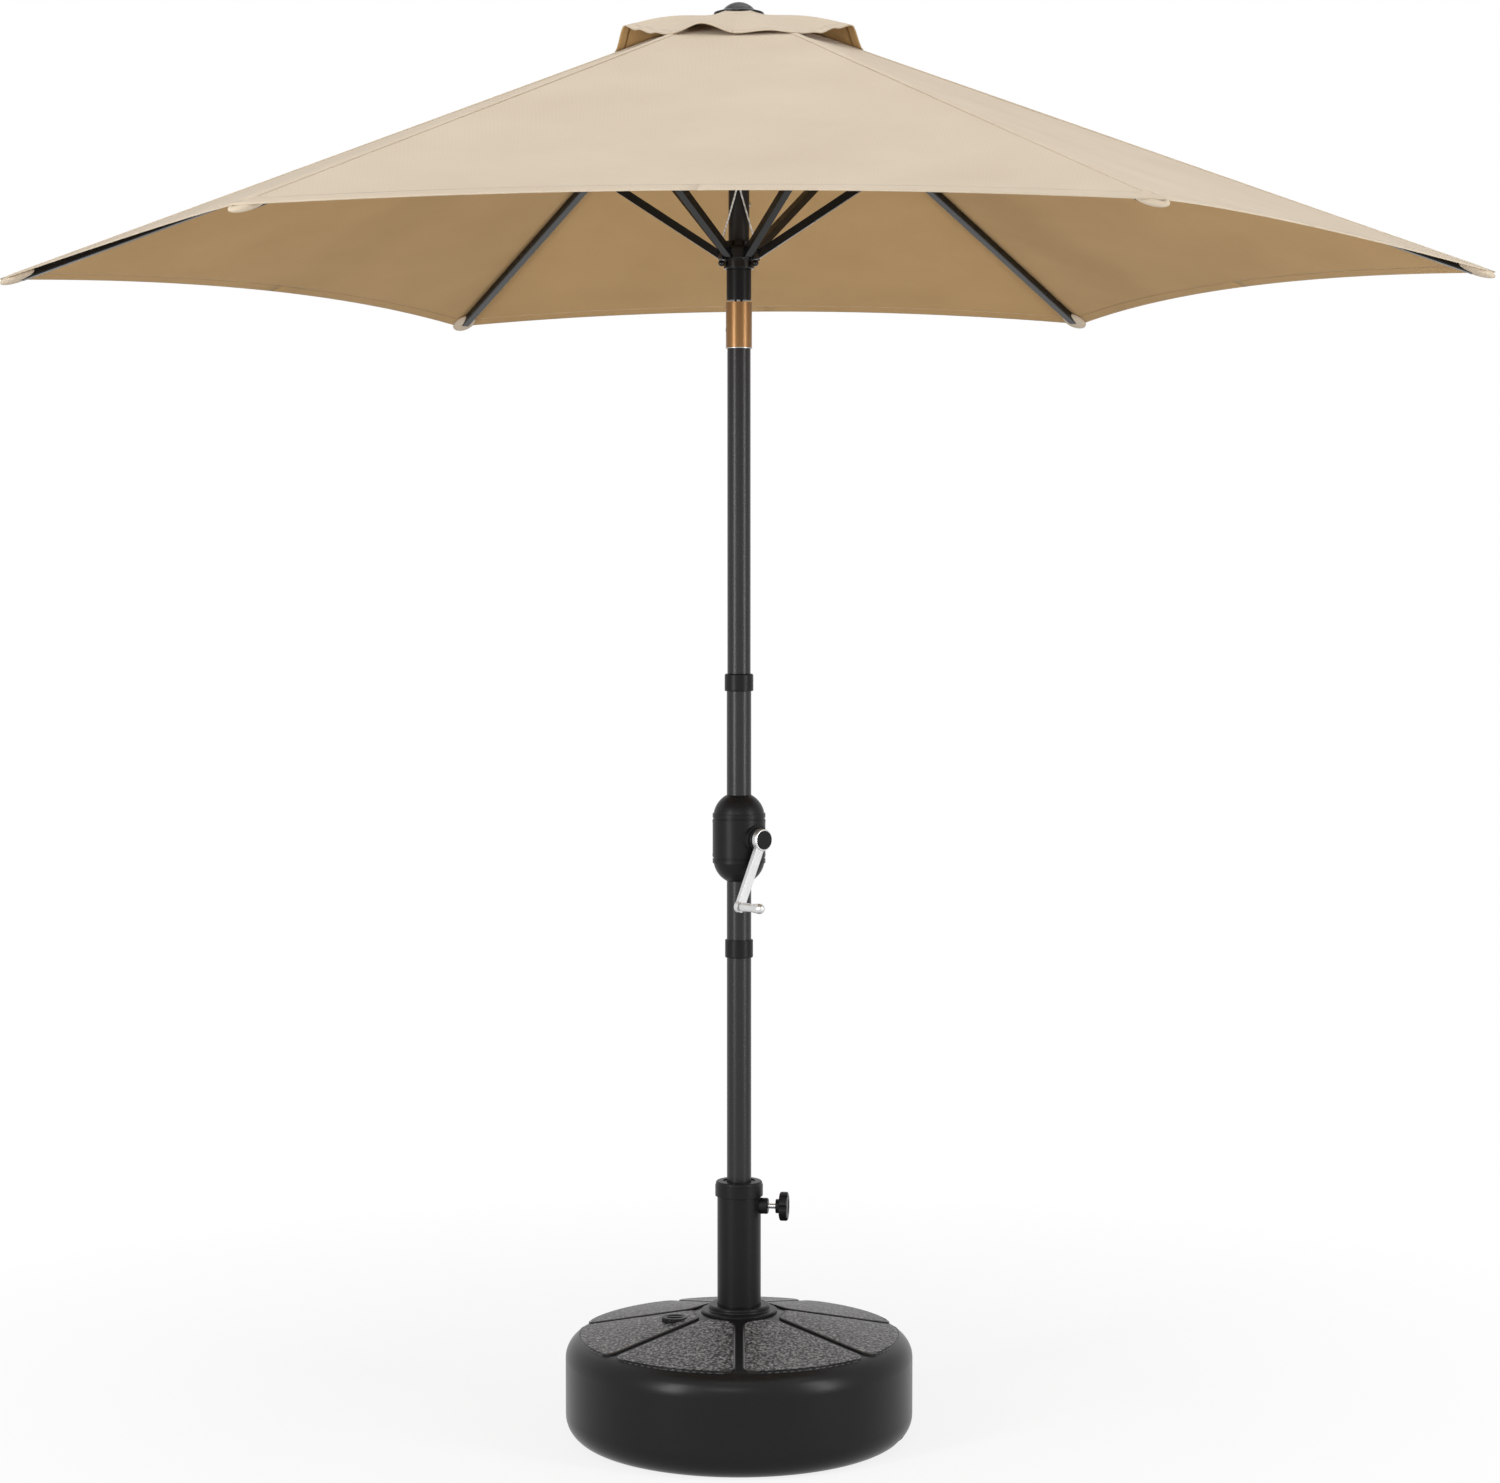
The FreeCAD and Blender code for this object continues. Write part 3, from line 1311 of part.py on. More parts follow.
# canopy
def panel_half(inner, outer, apex, scallop, side, turn):
    """Half of a flat panel beside a rib, from the ridge over the rib to the panel's middle."""
    middle_angle = math.pi / d.rib_count.value
    share = math.cos(middle_angle)
    thick = d.cloth_thickness.value
    inset = d.soft_gap.value / 2

    def spot(radius, angle):
        """A point of the sloping panel, from its plan position."""
        along = radius * math.cos(middle_angle - angle)
        height = apex - d.rib_slope.value / share * along
        lean = math.radians(turn) + side * angle
        return Vector(radius * math.cos(lean), radius * math.sin(lean), height)

    def hem(part):
        """Plan position on the hem: 0 at the rib, 1 at the panel's middle."""
        half_chord = outer * math.sin(middle_angle)
        across = half_chord * (1 - part)
        depth = scallop * (1 - (across / half_chord) ** 2)
        along = outer * share - depth
        edge = inset if part == 1 else 0
        angle = middle_angle - math.atan2(across + edge, along)
        return spot(math.hypot(across + edge, along), angle)

    def near_middle(radius):
        return spot(radius, middle_angle - inset / radius)

    edges = [Part.LineSegment(spot(inner, 0), spot(outer, 0)).toShape()]
    if scallop:
        edges.append(Part.Arc(hem(0), hem(0.5), hem(1)).toShape())
    else:
        edges.append(Part.LineSegment(hem(0), hem(1)).toShape())
    edges.append(Part.LineSegment(hem(1), near_middle(inner * share)).toShape())
    edges.append(Part.LineSegment(near_middle(inner * share), spot(inner, 0)).toShape())
    face = Part.Face(Part.Wire(edges))
    return face.extrude(Vector(0, 0, thick))


def canopy_gore(turn, label):
    """The cloth from the middle of one panel over a rib to the middle of the next, and the
    same share of the vent flap above it."""
    stud_hole = (d.finial_stud_diameter.value / 2 + 1) / math.cos(math.pi / d.rib_count.value)
    apex = d.cloth_line_height.value
    vent_apex = apex + d.cloth_thickness.value + d.vent_rise.value
    solids = []
    for inner, outer, height, scallop in (
        (d.vent_hole_radius.value, d.canopy_radius.value, apex, d.canopy_scallop.value),
        (stud_hole, d.vent_radius.value, vent_apex, 0),
    ):
        halves = [panel_half(inner, outer, height, scallop, side, turn.value) for side in (-1, 1)]
        solids.append(halves[0].fuse(halves[1]).removeSplitter())
    node(made(Part.makeCompound(solids)), label)


def main():
    tank()
    ballast()
    base_tube()
    base_flange()
    pole_seat()
    tube_cap()
    clamp()
    fill_cap()
    poles()
    collars()
    housing()
    crank()
    tilt_joint()
    upper_mast()
    crown()
    runner()
    lift_cord()
    for number, turn in enumerate(rib_turns, start=1):
        rib(turn, f"rib_{number}")
        strut(turn, f"strut_{number}")
        canopy_gore(turn, f"canopy_gore_{number}")
    document.recompute()
    write_nodes()


def write_nodes():
    faults = []
    for item in document.Objects:
        if {"Invalid", "Error"} & set(item.State):
            faults.append(f"{item.Label}: {item.State}")
    for label, item in nodes.items():
        if item.Shape.isNull() or not item.Shape.isValid() or not item.Shape.Solids:
            faults.append(f"{label}: no valid shape")
    if faults:
        raise RuntimeError("; ".join(faults))
    os.makedirs("parts", exist_ok=True)
    for label, item in nodes.items():
        item.Shape.exportStep(f"parts/{label}.step")
    print(f"{len(nodes)} nodes written")


main()
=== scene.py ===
import math

import bmesh
import bpy
from mathutils import Matrix, Vector, noise


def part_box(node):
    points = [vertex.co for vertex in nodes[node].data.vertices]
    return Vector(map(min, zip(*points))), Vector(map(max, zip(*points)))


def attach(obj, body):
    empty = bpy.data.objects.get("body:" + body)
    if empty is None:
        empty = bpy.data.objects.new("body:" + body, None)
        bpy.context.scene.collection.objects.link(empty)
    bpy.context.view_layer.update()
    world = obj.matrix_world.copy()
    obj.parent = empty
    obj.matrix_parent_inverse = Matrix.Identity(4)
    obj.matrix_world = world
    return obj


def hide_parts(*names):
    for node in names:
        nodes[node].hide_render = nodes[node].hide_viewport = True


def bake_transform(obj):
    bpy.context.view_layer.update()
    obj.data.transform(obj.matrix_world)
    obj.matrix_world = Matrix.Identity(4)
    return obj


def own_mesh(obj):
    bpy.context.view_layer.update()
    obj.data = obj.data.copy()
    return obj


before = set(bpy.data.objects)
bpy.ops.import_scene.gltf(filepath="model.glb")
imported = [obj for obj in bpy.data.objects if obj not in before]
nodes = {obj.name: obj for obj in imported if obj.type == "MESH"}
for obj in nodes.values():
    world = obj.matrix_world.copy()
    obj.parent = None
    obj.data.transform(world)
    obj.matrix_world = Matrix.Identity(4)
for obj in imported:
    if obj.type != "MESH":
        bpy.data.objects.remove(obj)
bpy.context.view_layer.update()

mm = 0.001
scene = bpy.context.scene
scene.view_settings.view_transform = "Standard"
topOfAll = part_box("finial")[1].z


# helpers for meshes
def newPiece(name, bm, materials, body):
    mesh = bpy.data.meshes.new(name)
    bm.to_mesh(mesh)
    bm.free()
    for material in materials:
        mesh.materials.append(material)
    mesh.polygons.foreach_set("use_smooth", [True] * len(mesh.polygons))
    piece = bpy.data.objects.new(name, mesh)
    scene.collection.objects.link(piece)
    if body:
        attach(piece, body)
    return piece


def addModifier(piece, kind, **settings):
    modifier = piece.modifiers.new(kind.title(), kind)
    for key, value in settings.items():
        setattr(modifier, key, value)
    return modifier


def mappedGrid(acrossCount, alongCount, spotOf, sizeOf):
    # spotOf(u, v) places a point of the unit grid, and sizeOf(u, v) gives its flat place for the UV map
    bm = bmesh.new()
    bmesh.ops.create_grid(bm, x_segments=acrossCount, y_segments=alongCount, size=0.5)
    flatMap = bm.loops.layers.uv.new("flat")
    shares = {vertex: (vertex.co.x + 0.5, vertex.co.y + 0.5) for vertex in bm.verts}
    for face in bm.faces:
        for loop in face.loops:
            loop[flatMap].uv = sizeOf(*shares[loop.vert])
    for vertex, (u, v) in shares.items():
        vertex.co = spotOf(u, v)
    bm.normal_update()
    if sum(face.normal.z for face in bm.faces) < 0:
        bmesh.ops.reverse_faces(bm, faces=bm.faces)
    return bm


def ease(value):
    value = min(max(value, 0.0), 1.0)
    return value * value * (3 - 2 * value)


# helpers for materials
def linearColour(hexText):
    channels = [int(hexText[i:i + 2], 16) / 255 for i in (1, 3, 5)]
    return (*[c / 12.92 if c <= 0.04045 else ((c + 0.055) / 1.055) ** 2.4 for c in channels], 1.0)


def addNode(tree, kind, settings=None, inputs=None, links=None):
    made = tree.nodes.new(kind)
    for key, value in (settings or {}).items():
        setattr(made, key, value)
    for key, value in (inputs or {}).items():
        made.inputs[key].default_value = value
    for key, source in (links or {}).items():
        tree.links.new(source, made.inputs[key])
    return made


def newFinish(name, **shader):
    material = bpy.data.materials.new(name)
    material.use_nodes = True
    tree = material.node_tree
    tree.nodes.clear()
    surface = addNode(tree, "ShaderNodeBsdfPrincipled", inputs=shader)
    addNode(tree, "ShaderNodeOutputMaterial", links={"Surface": surface.outputs[0]})
    place = addNode(tree, "ShaderNodeTexCoord")
    return material, tree, surface, place


def addGrain(tree, surface, place, grainSize, depth, contrast, dark, light, roughLow, roughHigh, edge=0.0):
    # One grain drives the colour, the roughness and the relief. grainSize and depth are in metres.
    grain = addNode(tree, "ShaderNodeTexNoise", inputs={"Scale": 1 / grainSize, "Detail": 3.0},
                    links={"Vector": place.outputs["Object"]})
    patches = addNode(tree, "ShaderNodeTexNoise", inputs={"Scale": 6.0, "Detail": 2.0},
                      links={"Vector": place.outputs["Object"]})
    blend = addNode(tree, "ShaderNodeMath", {"operation": "MULTIPLY_ADD", "use_clamp": True},
                    {1: contrast, 2: 0.5 - contrast / 2}, {0: grain.outputs[0]})
    colours = addNode(tree, "ShaderNodeMix", {"data_type": "RGBA"},
                      {"A": linearColour(dark), "B": linearColour(light)}, {"Factor": blend.outputs[0]})
    tree.links.new(colours.outputs["Result"], surface.inputs["Base Color"])
    rough = addNode(tree, "ShaderNodeMapRange", inputs={"To Min": roughLow, "To Max": roughHigh},
                    links={"Value": patches.outputs[0]})
    tree.links.new(rough.outputs[0], surface.inputs["Roughness"])
    relief = addNode(tree, "ShaderNodeBump", inputs={"Distance": depth, "Strength": 1.0},
                     links={"Height": grain.outputs[0]})
    if edge:
        rounded = addNode(tree, "ShaderNodeBevel", {"samples": 4}, {"Radius": edge})
        tree.links.new(rounded.outputs[0], relief.inputs["Normal"])
    tree.links.new(relief.outputs[0], surface.inputs["Normal"])


# camera
cameraView = {"place": (0.2734, -4.9999, 1.352), "tilt": 86.99, "turn": 2.935, "lens": 77.68, "sensor": 36.0}


def makeCamera():
    lens = bpy.data.cameras.new("view")
    lens.lens = cameraView["lens"]
    lens.sensor_width = cameraView["sensor"]
    camera = bpy.data.objects.new("view", lens)
    camera.location = cameraView["place"]
    camera.rotation_euler = (math.radians(cameraView["tilt"]), 0, math.radians(cameraView["turn"]))
    scene.collection.objects.link(camera)
    scene.camera = camera
    print("camera made")


# studio
studio = {
    "dayStrength": 0.42, "floorSize": 9.0, "fadeStart": 0.75, "fadeEnd": 2.0,
    "lamps": (
        ("topLamp", (0.3, -0.6, 4.4), (0, 0, 1.9), (3.6, 3.6), 62),
        ("keyLamp", (-2.8, -3.2, 1.7), (0, 0, 1.0), (0.7, 3.0), 120),
        ("fillLamp", (3.0, -1.75, 1.5), (0, 0, 1.0), (0.6, 2.8), 70),
        ("frontLamp", (-0.6, -5.6, 3.2), (0, 0, 1.2), (2.2, 1.4), 40),
    ),
}


def makeStudio():
    for name, place, aim, size, power in studio["lamps"]:
        light = bpy.data.lights.new(name, "AREA")
        light.shape = "RECTANGLE"
        light.size, light.size_y = size
        light.energy = power
        lamp = bpy.data.objects.new(name, light)
        lamp.location = place
        lamp.rotation_euler = (Vector(aim) - Vector(place)).to_track_quat("-Z", "Y").to_euler()
        scene.collection.objects.link(lamp)
    world = bpy.data.worlds.new("studioDay")
    scene.world = world
    world.use_nodes = True
    tree = world.node_tree
    tree.nodes.clear()
    ray = addNode(tree, "ShaderNodeLightPath")
    seen = addNode(tree, "ShaderNodeMath", {"operation": "MAXIMUM"},
                   links={0: ray.outputs["Is Camera Ray"], 1: ray.outputs["Is Glossy Ray"]})
    seenAll = addNode(tree, "ShaderNodeMath", {"operation": "MAXIMUM"},
                      links={0: seen.outputs[0], 1: ray.outputs["Is Transmission Ray"]})
    strength = addNode(tree, "ShaderNodeMapRange", inputs={"To Min": studio["dayStrength"], "To Max": 1.0},
                       links={"Value": seenAll.outputs[0]})
    day = addNode(tree, "ShaderNodeBackground", inputs={"Color": (1, 1, 1, 1)},
                  links={"Strength": strength.outputs[0]})
    addNode(tree, "ShaderNodeOutputWorld", links={"Surface": day.outputs[0]})

    # Pale seamless floor: it keeps the shadow near the base and runs out to white.
    material, tree, surface, place = newFinish("paleStudioFloor", **{
        "Base Color": (0.86, 0.86, 0.86, 1), "Roughness": 0.9, "Specular IOR Level": 0.1})
    ray = addNode(tree, "ShaderNodeLightPath")
    reach = addNode(tree, "ShaderNodeVectorMath", {"operation": "LENGTH"}, links={0: place.outputs["Object"]})
    fade = addNode(tree, "ShaderNodeMapRange",
                   inputs={"From Min": studio["fadeStart"], "From Max": studio["fadeEnd"], "To Min": 0.82},
                   links={"Value": reach.outputs["Value"]})
    seen = addNode(tree, "ShaderNodeMath", {"operation": "MAXIMUM"},
                   links={0: ray.outputs["Is Camera Ray"], 1: ray.outputs["Is Glossy Ray"]})
    share = addNode(tree, "ShaderNodeMath", {"operation": "MULTIPLY"},
                    links={0: fade.outputs[0], 1: seen.outputs[0]})
    white = addNode(tree, "ShaderNodeEmission", inputs={"Color": (1, 1, 1, 1), "Strength": 1.0})
    both = addNode(tree, "ShaderNodeMixShader",
                   links={0: share.outputs[0], 1: surface.outputs[0], 2: white.outputs[0]})
    output = next(n for n in tree.nodes if n.type == "OUTPUT_MATERIAL")
    tree.links.new(both.outputs[0], output.inputs["Surface"])
    bm = bmesh.new()
    bmesh.ops.create_grid(bm, x_segments=1, y_segments=1, size=studio["floorSize"])
    mesh = bpy.data.meshes.new("studioFloor")
    bm.to_mesh(mesh)
    bm.free()
    mesh.materials.append(material)
    floor = bpy.data.objects.new("studioFloor", mesh)
    scene.collection.objects.link(floor)
    print("studio made")


# finishes
def powderCoatedSteel():
    # Steel tube with a baked satin powder coat: charcoal, with soft broad highlights and a faint orange peel.
    material, tree, surface, place = newFinish("powderCoatedSteel", **{
        "Specular IOR Level": 0.24})
    addGrain(tree, surface, place, 0.9 * mm, 0.03 * mm, 0.5, "#1b1b1c", "#272728", 0.28, 0.36, edge=0.5 * mm)
    return material


def glossEnamelSteel():
    # Rolled steel channel dipped in gloss black enamel: deep black with sharp streaks of light.
    material, tree, surface, place = newFinish("glossEnamelSteel", **{
        "Specular IOR Level": 0.28})
    addGrain(tree, surface, place, 2.5 * mm, 0.02 * mm, 0.4, "#0b0b0c", "#131314", 0.22, 0.32, edge=0.8 * mm)
    return material


def mouldedAbs():
    # Injection moulded ABS, spark textured: near black, satin, with a very fine even grain.
    material, tree, surface, place = newFinish("mouldedAbs", **{"Specular IOR Level": 0.14})
    addGrain(tree, surface, place, 1.0 * mm, 0.04 * mm, 0.5, "#0f0f10", "#181819", 0.32, 0.42, edge=0.9 * mm)
    return material


def glossNylon():
    # Glass filled nylon straight from a polished mould: black and shiny, as on hubs and runners.
    material, tree, surface, place = newFinish("glossNylon", **{"Specular IOR Level": 0.3})
    addGrain(tree, surface, place, 2.0 * mm, 0.03 * mm, 0.4, "#08080a", "#111112", 0.2, 0.3, edge=0.9 * mm)
    return material


def blowMouldedTank():
    # Blow moulded polyethylene: black, waxy and slightly uneven, so highlights are wide and soft.
    material, tree, surface, place = newFinish("blowMouldedTank", **{"Specular IOR Level": 0.16})
    addGrain(tree, surface, place, 9.0 * mm, 0.06 * mm, 0.5, "#121212", "#191919", 0.26, 0.34, edge=1.6 * mm)
    return material


def grainedTankPaintedSheen():
    # The tank's panels are stippled in the mould with a leathery pebble of 4 to 5 mm; its tips are painted
    # pale grey as a painted sheen.
    material, tree, surface, place = newFinish("grainedTankPaintedSheen", **{"Specular IOR Level": 0.2, "Roughness": 0.4})
    pebble = addNode(tree, "ShaderNodeTexNoise",
                     inputs={"Scale": 1 / (4.5 * mm), "Detail": 3.0, "Roughness": 0.6},
                     links={"Vector": place.outputs["Object"]})
    # The pebble's raised tips turn pale grey here: a painted sheen, not the plastic's own colour.
    tone = addNode(tree, "ShaderNodeMapRange", inputs={"From Min": 0.44, "From Max": 0.68},
                   links={"Value": pebble.outputs[0]})
    colours = addNode(tree, "ShaderNodeMix", {"data_type": "RGBA"},
                      {"A": linearColour("#171717"), "B": linearColour("#8c8c8c")},
                      {"Factor": tone.outputs[0]})
    tree.links.new(colours.outputs["Result"], surface.inputs["Base Color"])
    relief = addNode(tree, "ShaderNodeBump", inputs={"Distance": 1.2 * mm, "Strength": 1.0},
                     links={"Height": pebble.outputs[0]})
    tree.links.new(relief.outputs[0], surface.inputs["Normal"])
    return material


def polishedBead():
    # The rolled edge of each panel stays smooth and shiny, and draws a bright line round the grain.
    material, tree, surface, place = newFinish("polishedBead", **{"Specular IOR Level": 0.8})
    addGrain(tree, surface, place, 3.0 * mm, 0.02 * mm, 0.5, "#1c1c1c", "#2a2a2a", 0.16, 0.24)
    return material


def copperAnodised():
    # Aluminium sleeve anodised copper: warm metal with fine drawn lines down its length.
    material, tree, surface, place = newFinish("copperAnodised", **{"Metallic": 0.75})
    stretched = addNode(tree, "ShaderNodeMapping", inputs={"Scale": (1.0, 1.0, 0.02)},
                        links={"Vector": place.outputs["Object"]})
    lines = addNode(tree, "ShaderNodeTexNoise", inputs={"Scale": 1 / (0.8 * mm), "Detail": 2.0},
                    links={"Vector": stretched.outputs[0]})
    colours = addNode(tree, "ShaderNodeMix", {"data_type": "RGBA"},
                      {"A": linearColour("#7c5a35"), "B": linearColour("#9c774f")},
                      {"Factor": lines.outputs[0]})
    tree.links.new(colours.outputs["Result"], surface.inputs["Base Color"])
    rough = addNode(tree, "ShaderNodeMapRange", inputs={"To Min": 0.3, "To Max": 0.42},
                    links={"Value": lines.outputs[0]})
    tree.links.new(rough.outputs[0], surface.inputs["Roughness"])
    relief = addNode(tree, "ShaderNodeBump", inputs={"Distance": 0.02 * mm},
                     links={"Height": lines.outputs[0]})
    tree.links.new(relief.outputs[0], surface.inputs["Normal"])
    return material


def brightSteel():
    # Zinc plated steel: bright, slightly clouded.
    material, tree, surface, place = newFinish("brightSteel", **{"Metallic": 1.0})
    addGrain(tree, surface, place, 1.5 * mm, 0.02 * mm, 0.6, "#b9b9ba", "#d8d8d8", 0.24, 0.36, edge=0.3 * mm)
    return material


def dieCastZinc():
    # Pressure die cast zinc, tumbled: pale silver with a soft mottled skin.
    material, tree, surface, place = newFinish("dieCastZinc", **{"Metallic": 0.85})
    addGrain(tree, surface, place, 2.2 * mm, 0.12 * mm, 0.8, "#b4b4b5", "#e4e4e4", 0.26, 0.42, edge=1.0 * mm)
    return material


def braidedNylon():
    # Braided nylon cord: off white strands crossing every 2 mm or so.
    material, tree, surface, place = newFinish("braidedNylon", **{"Roughness": 0.7, "Sheen Weight": 0.2})
    wave = addNode(tree, "ShaderNodeTexWave", {"bands_direction": "DIAGONAL"},
                   {"Scale": 1 / (12 * mm), "Distortion": 1.0}, {"Vector": place.outputs["Object"]})
    colours = addNode(tree, "ShaderNodeMix", {"data_type": "RGBA"},
                      {"A": linearColour("#b3b3b1"), "B": linearColour("#dededc")},
                      {"Factor": wave.outputs[0]})
    tree.links.new(colours.outputs["Result"], surface.inputs["Base Color"])
    relief = addNode(tree, "ShaderNodeBump", inputs={"Distance": 0.2 * mm}, links={"Height": wave.outputs[0]})
    tree.links.new(relief.outputs[0], surface.inputs["Normal"])
    return material


def washedSand():
    # The filling of the tank: damp sand, never seen from outside.
    material, tree, surface, place = newFinish("washedSand", **{})
    addGrain(tree, surface, place, 1.2 * mm, 0.4 * mm, 1.0, "#9c8a6c", "#c2b08d", 0.8, 0.95)
    return material


def polyesterCanopy(name, dark, light, glow):
    # Plain woven 160 g polyester, piece dyed. The yarns lie 0.4 mm apart, drawn at 1.6 mm so that they show;
    # a little light comes through. The inner side is the same cloth, painted darker and browner as painted
    # shade.
    material, tree, surface, place = newFinish(name, **{
        "Roughness": 0.82, "Specular IOR Level": 0.18, "Sheen Weight": 0.08, "Sheen Roughness": 0.5})
    yarns = []
    for direction in ("X", "Y"):
        yarns.append(addNode(tree, "ShaderNodeTexWave", {"bands_direction": direction},
                             {"Scale": 0.1 / (1.6 * mm), "Distortion": 0.5, "Detail Scale": 3.0},
                             {"Vector": place.outputs["UV"]}))
    weave = addNode(tree, "ShaderNodeMath", {"operation": "MULTIPLY"},
                    links={0: yarns[0].outputs["Fac"], 1: yarns[1].outputs["Fac"]})
    slub = addNode(tree, "ShaderNodeTexNoise", inputs={"Scale": 7.0, "Detail": 5.0},
                   links={"Vector": place.outputs["Object"]})
    tone = addNode(tree, "ShaderNodeMath", {"operation": "MULTIPLY_ADD", "use_clamp": True}, {1: 0.2},
                   {0: weave.outputs[0], 2: slub.outputs[0]})
    colours = addNode(tree, "ShaderNodeMix", {"data_type": "RGBA"},
                      {"A": linearColour(dark), "B": linearColour(light)}, {"Factor": tone.outputs[0]})
    tree.links.new(colours.outputs["Result"], surface.inputs["Base Color"])
    relief = addNode(tree, "ShaderNodeBump", inputs={"Distance": 0.12 * mm, "Strength": 0.6},
                     links={"Height": weave.outputs[0]})
    tree.links.new(relief.outputs[0], surface.inputs["Normal"])
    through = addNode(tree, "ShaderNodeBsdfTranslucent", links={"Color": colours.outputs["Result"]})
    both = addNode(tree, "ShaderNodeMixShader", inputs={0: glow},
                   links={1: surface.outputs[0], 2: through.outputs[0]})
    output = next(n for n in tree.nodes if n.type == "OUTPUT_MATERIAL")
    tree.links.new(both.outputs[0], output.inputs["Surface"])
    return material


finish = {
    "steel": powderCoatedSteel(), "enamel": glossEnamelSteel(), "abs": mouldedAbs(), "nylon": glossNylon(),
    "tank": blowMouldedTank(), "grained": grainedTankPaintedSheen(), "bead": polishedBead(),
    "copper": copperAnodised(), "bright": brightSteel(),
    "cast": dieCastZinc(), "cord": braidedNylon(), "sand": washedSand(),
    "cloth": polyesterCanopy("polyesterFace", "#bfaf99", "#ccbeaa", 0.12),
    # The underside finish is painted darker and browner than the face: painted shade.
    "lining": polyesterCanopy("polyesterPaintedShadeUnderside", "#a98859", "#bb996a", 0.12),
}
finishOfNode = {
    "tank": ("base_tank",),
    "sand": ("ballast_fill",),
    "abs": ("base_flange", "base_tube", "pole_seat", "tube_cap", "clamp_nut", "clamp_knob", "fill_cap",
            "pole_foot", "joint_collar", "upper_collar", "housing_front", "housing_back", "crank_bezel",
            "tilt_knuckle", "tilt_button", "crank_cap"),
    "steel": ("lower_pole", "crank_pole", "mid_pole", "top_pole", "pole_joiner", "tilt_fork"),
    "nylon": ("crown_hub", "finial", "runner", "cord_spool", "cord_guide", "cord_beads"),
    "copper": ("tilt_sleeve",),
    "bright": ("clamp_screw", "housing_screws", "tilt_pin", "button_spring", "crown_pins", "stop_screw"),
    "cast": ("crank_arm", "crank_grip"),
    "cord": ("lift_cord_lower", "lift_cord_upper", "lift_cord_loop"),
    "cloth": tuple(f"canopy_gore_{number}" for number in range(1, 7)),
    "enamel": tuple(f"{stem}_{number}" for stem in ("rib", "strut") for number in range(1, 7)),
}


def paintFrame():
    for kind, names in finishOfNode.items():
        for name in names:
            mesh = nodes[name].data
            mesh.materials.clear()
            mesh.materials.append(finish[kind])
    left = set(nodes) - {name for names in finishOfNode.values() for name in names}
    print("frame painted, left over:", sorted(left))


# canopy: top height, slope and radius follow the ribs, and lengths are in metres
canopy = {
    "ribs": 6, "slope": 0.354, "radius": 1150 * mm, "scallop": 52 * mm, "hole": 120 * mm,
    "belowTop": 9.2 * mm, "dip": 9 * mm, "clothThickness": 1.1 * mm, "across": 26, "along": 60,
    "hem": 24 * mm, "hemThickness": 2.2 * mm, "hemLift": 0.5 * mm, "hemPast": 1.0012,
    "seam": 7 * mm, "keep": 0.1, "ripple": 0.8 * mm, "hinge": 28 * mm,
}
halfAngle = math.pi / canopy["ribs"]
shareCos = math.cos(halfAngle)
midSlope = canopy["slope"] / shareCos
clothApex = topOfAll - canopy["belowTop"] + canopy["clothThickness"]


def clothLayers(piece, thickness, withRim):
    # The dyed face looks up, and the second material, underneath, is the same cloth painted darker and
    # browner as painted shade.
    addModifier(piece, "SOLIDIFY", thickness=thickness, offset=-1.0, use_rim=withRim,
                material_offset=1, material_offset_rim=0)


def hemAlong(u, outer, scallop):
    # Distance from the mast, square to the panel's hem, at u: 0 at the rib, 1 at the panel's middle.
    halfChord = outer * math.sin(halfAngle)
    along = outer * shareCos
    for _ in range(8):
        across = along * (1 - u) * math.tan(halfAngle)
        along = outer * shareCos - scallop * (1 - (across / halfChord) ** 2)
    return along


def planToRow(turn, side, along, across, height):
    # across is measured from the panel's middle towards the rib at turn.
    lean = turn + side * (halfAngle - math.atan2(across, along))
    reach = math.hypot(along, across)
    return Vector((reach * math.cos(lean), reach * math.sin(lean), height))


def panelSpot(turn, side, u, v, inner, outer, scallop, apex, dip):
    first, last = inner * shareCos, hemAlong(u, outer, scallop)
    along = first + (last - first) * v
    across = along * (1 - u) * math.tan(halfAngle)
    sag = dip * (1 - (1 - u) ** 2) * 4 * v * (1 - v)
    spot = planToRow(turn, side, along, across, apex - midSlope * along - sag)
    wave = noise.noise(Vector((spot.x * 5, spot.y * 5, 2.0))) * canopy["ripple"]
    spot.z += wave * math.sin(math.pi / 2 * u) * math.sin(math.pi * v)
    return spot


def foldAcross(piece):
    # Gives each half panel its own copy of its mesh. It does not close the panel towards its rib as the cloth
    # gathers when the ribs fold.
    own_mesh(piece)


def makePanel(number, side):
    turn = (number - 1) * 2 * halfAngle
    outer, inner = canopy["radius"], canopy["hole"]
    chord = outer * math.sin(halfAngle)
    length = outer * shareCos * math.sqrt(1 + midSlope ** 2)
    name = f"canopy_panel_{number}_{'a' if side < 0 else 'b'}"
    bm = mappedGrid(
        canopy["across"], canopy["along"],
        lambda u, v: panelSpot(turn, side, u, v, inner, outer, canopy["scallop"], clothApex, canopy["dip"]),
        lambda u, v: (chord * (1 - u) * v, length * v),
    )
    panel = newPiece(name, bm, (finish["cloth"], finish["lining"]), f"rib_{number}")
    clothLayers(panel, canopy["clothThickness"], False)
    foldAcross(panel)
    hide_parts(f"canopy_gore_{number}")

    first = 1 - canopy["hem"] / (length - inner)
    hemLift = Vector((0, 0, canopy["hemLift"]))
    bm = mappedGrid(
        canopy["across"], 5,
        lambda u, v: panelSpot(turn, side, u, first + (canopy["hemPast"] - first) * v, inner, outer,
                               canopy["scallop"], clothApex, canopy["dip"]) + hemLift,
        lambda u, v: (chord * (1 - u), canopy["hem"] * v),
    )
    hem = newPiece(name.replace("panel", "hem"), bm, (finish["cloth"], finish["lining"]), f"rib_{number}")
    clothLayers(hem, canopy["hemThickness"], True)
    foldAcross(hem)


seamTape = {"from": 121 * mm, "to": 1128 * mm, "crest": 0.9 * mm, "lift": 0.25 * mm, "thickness": 0.8 * mm}


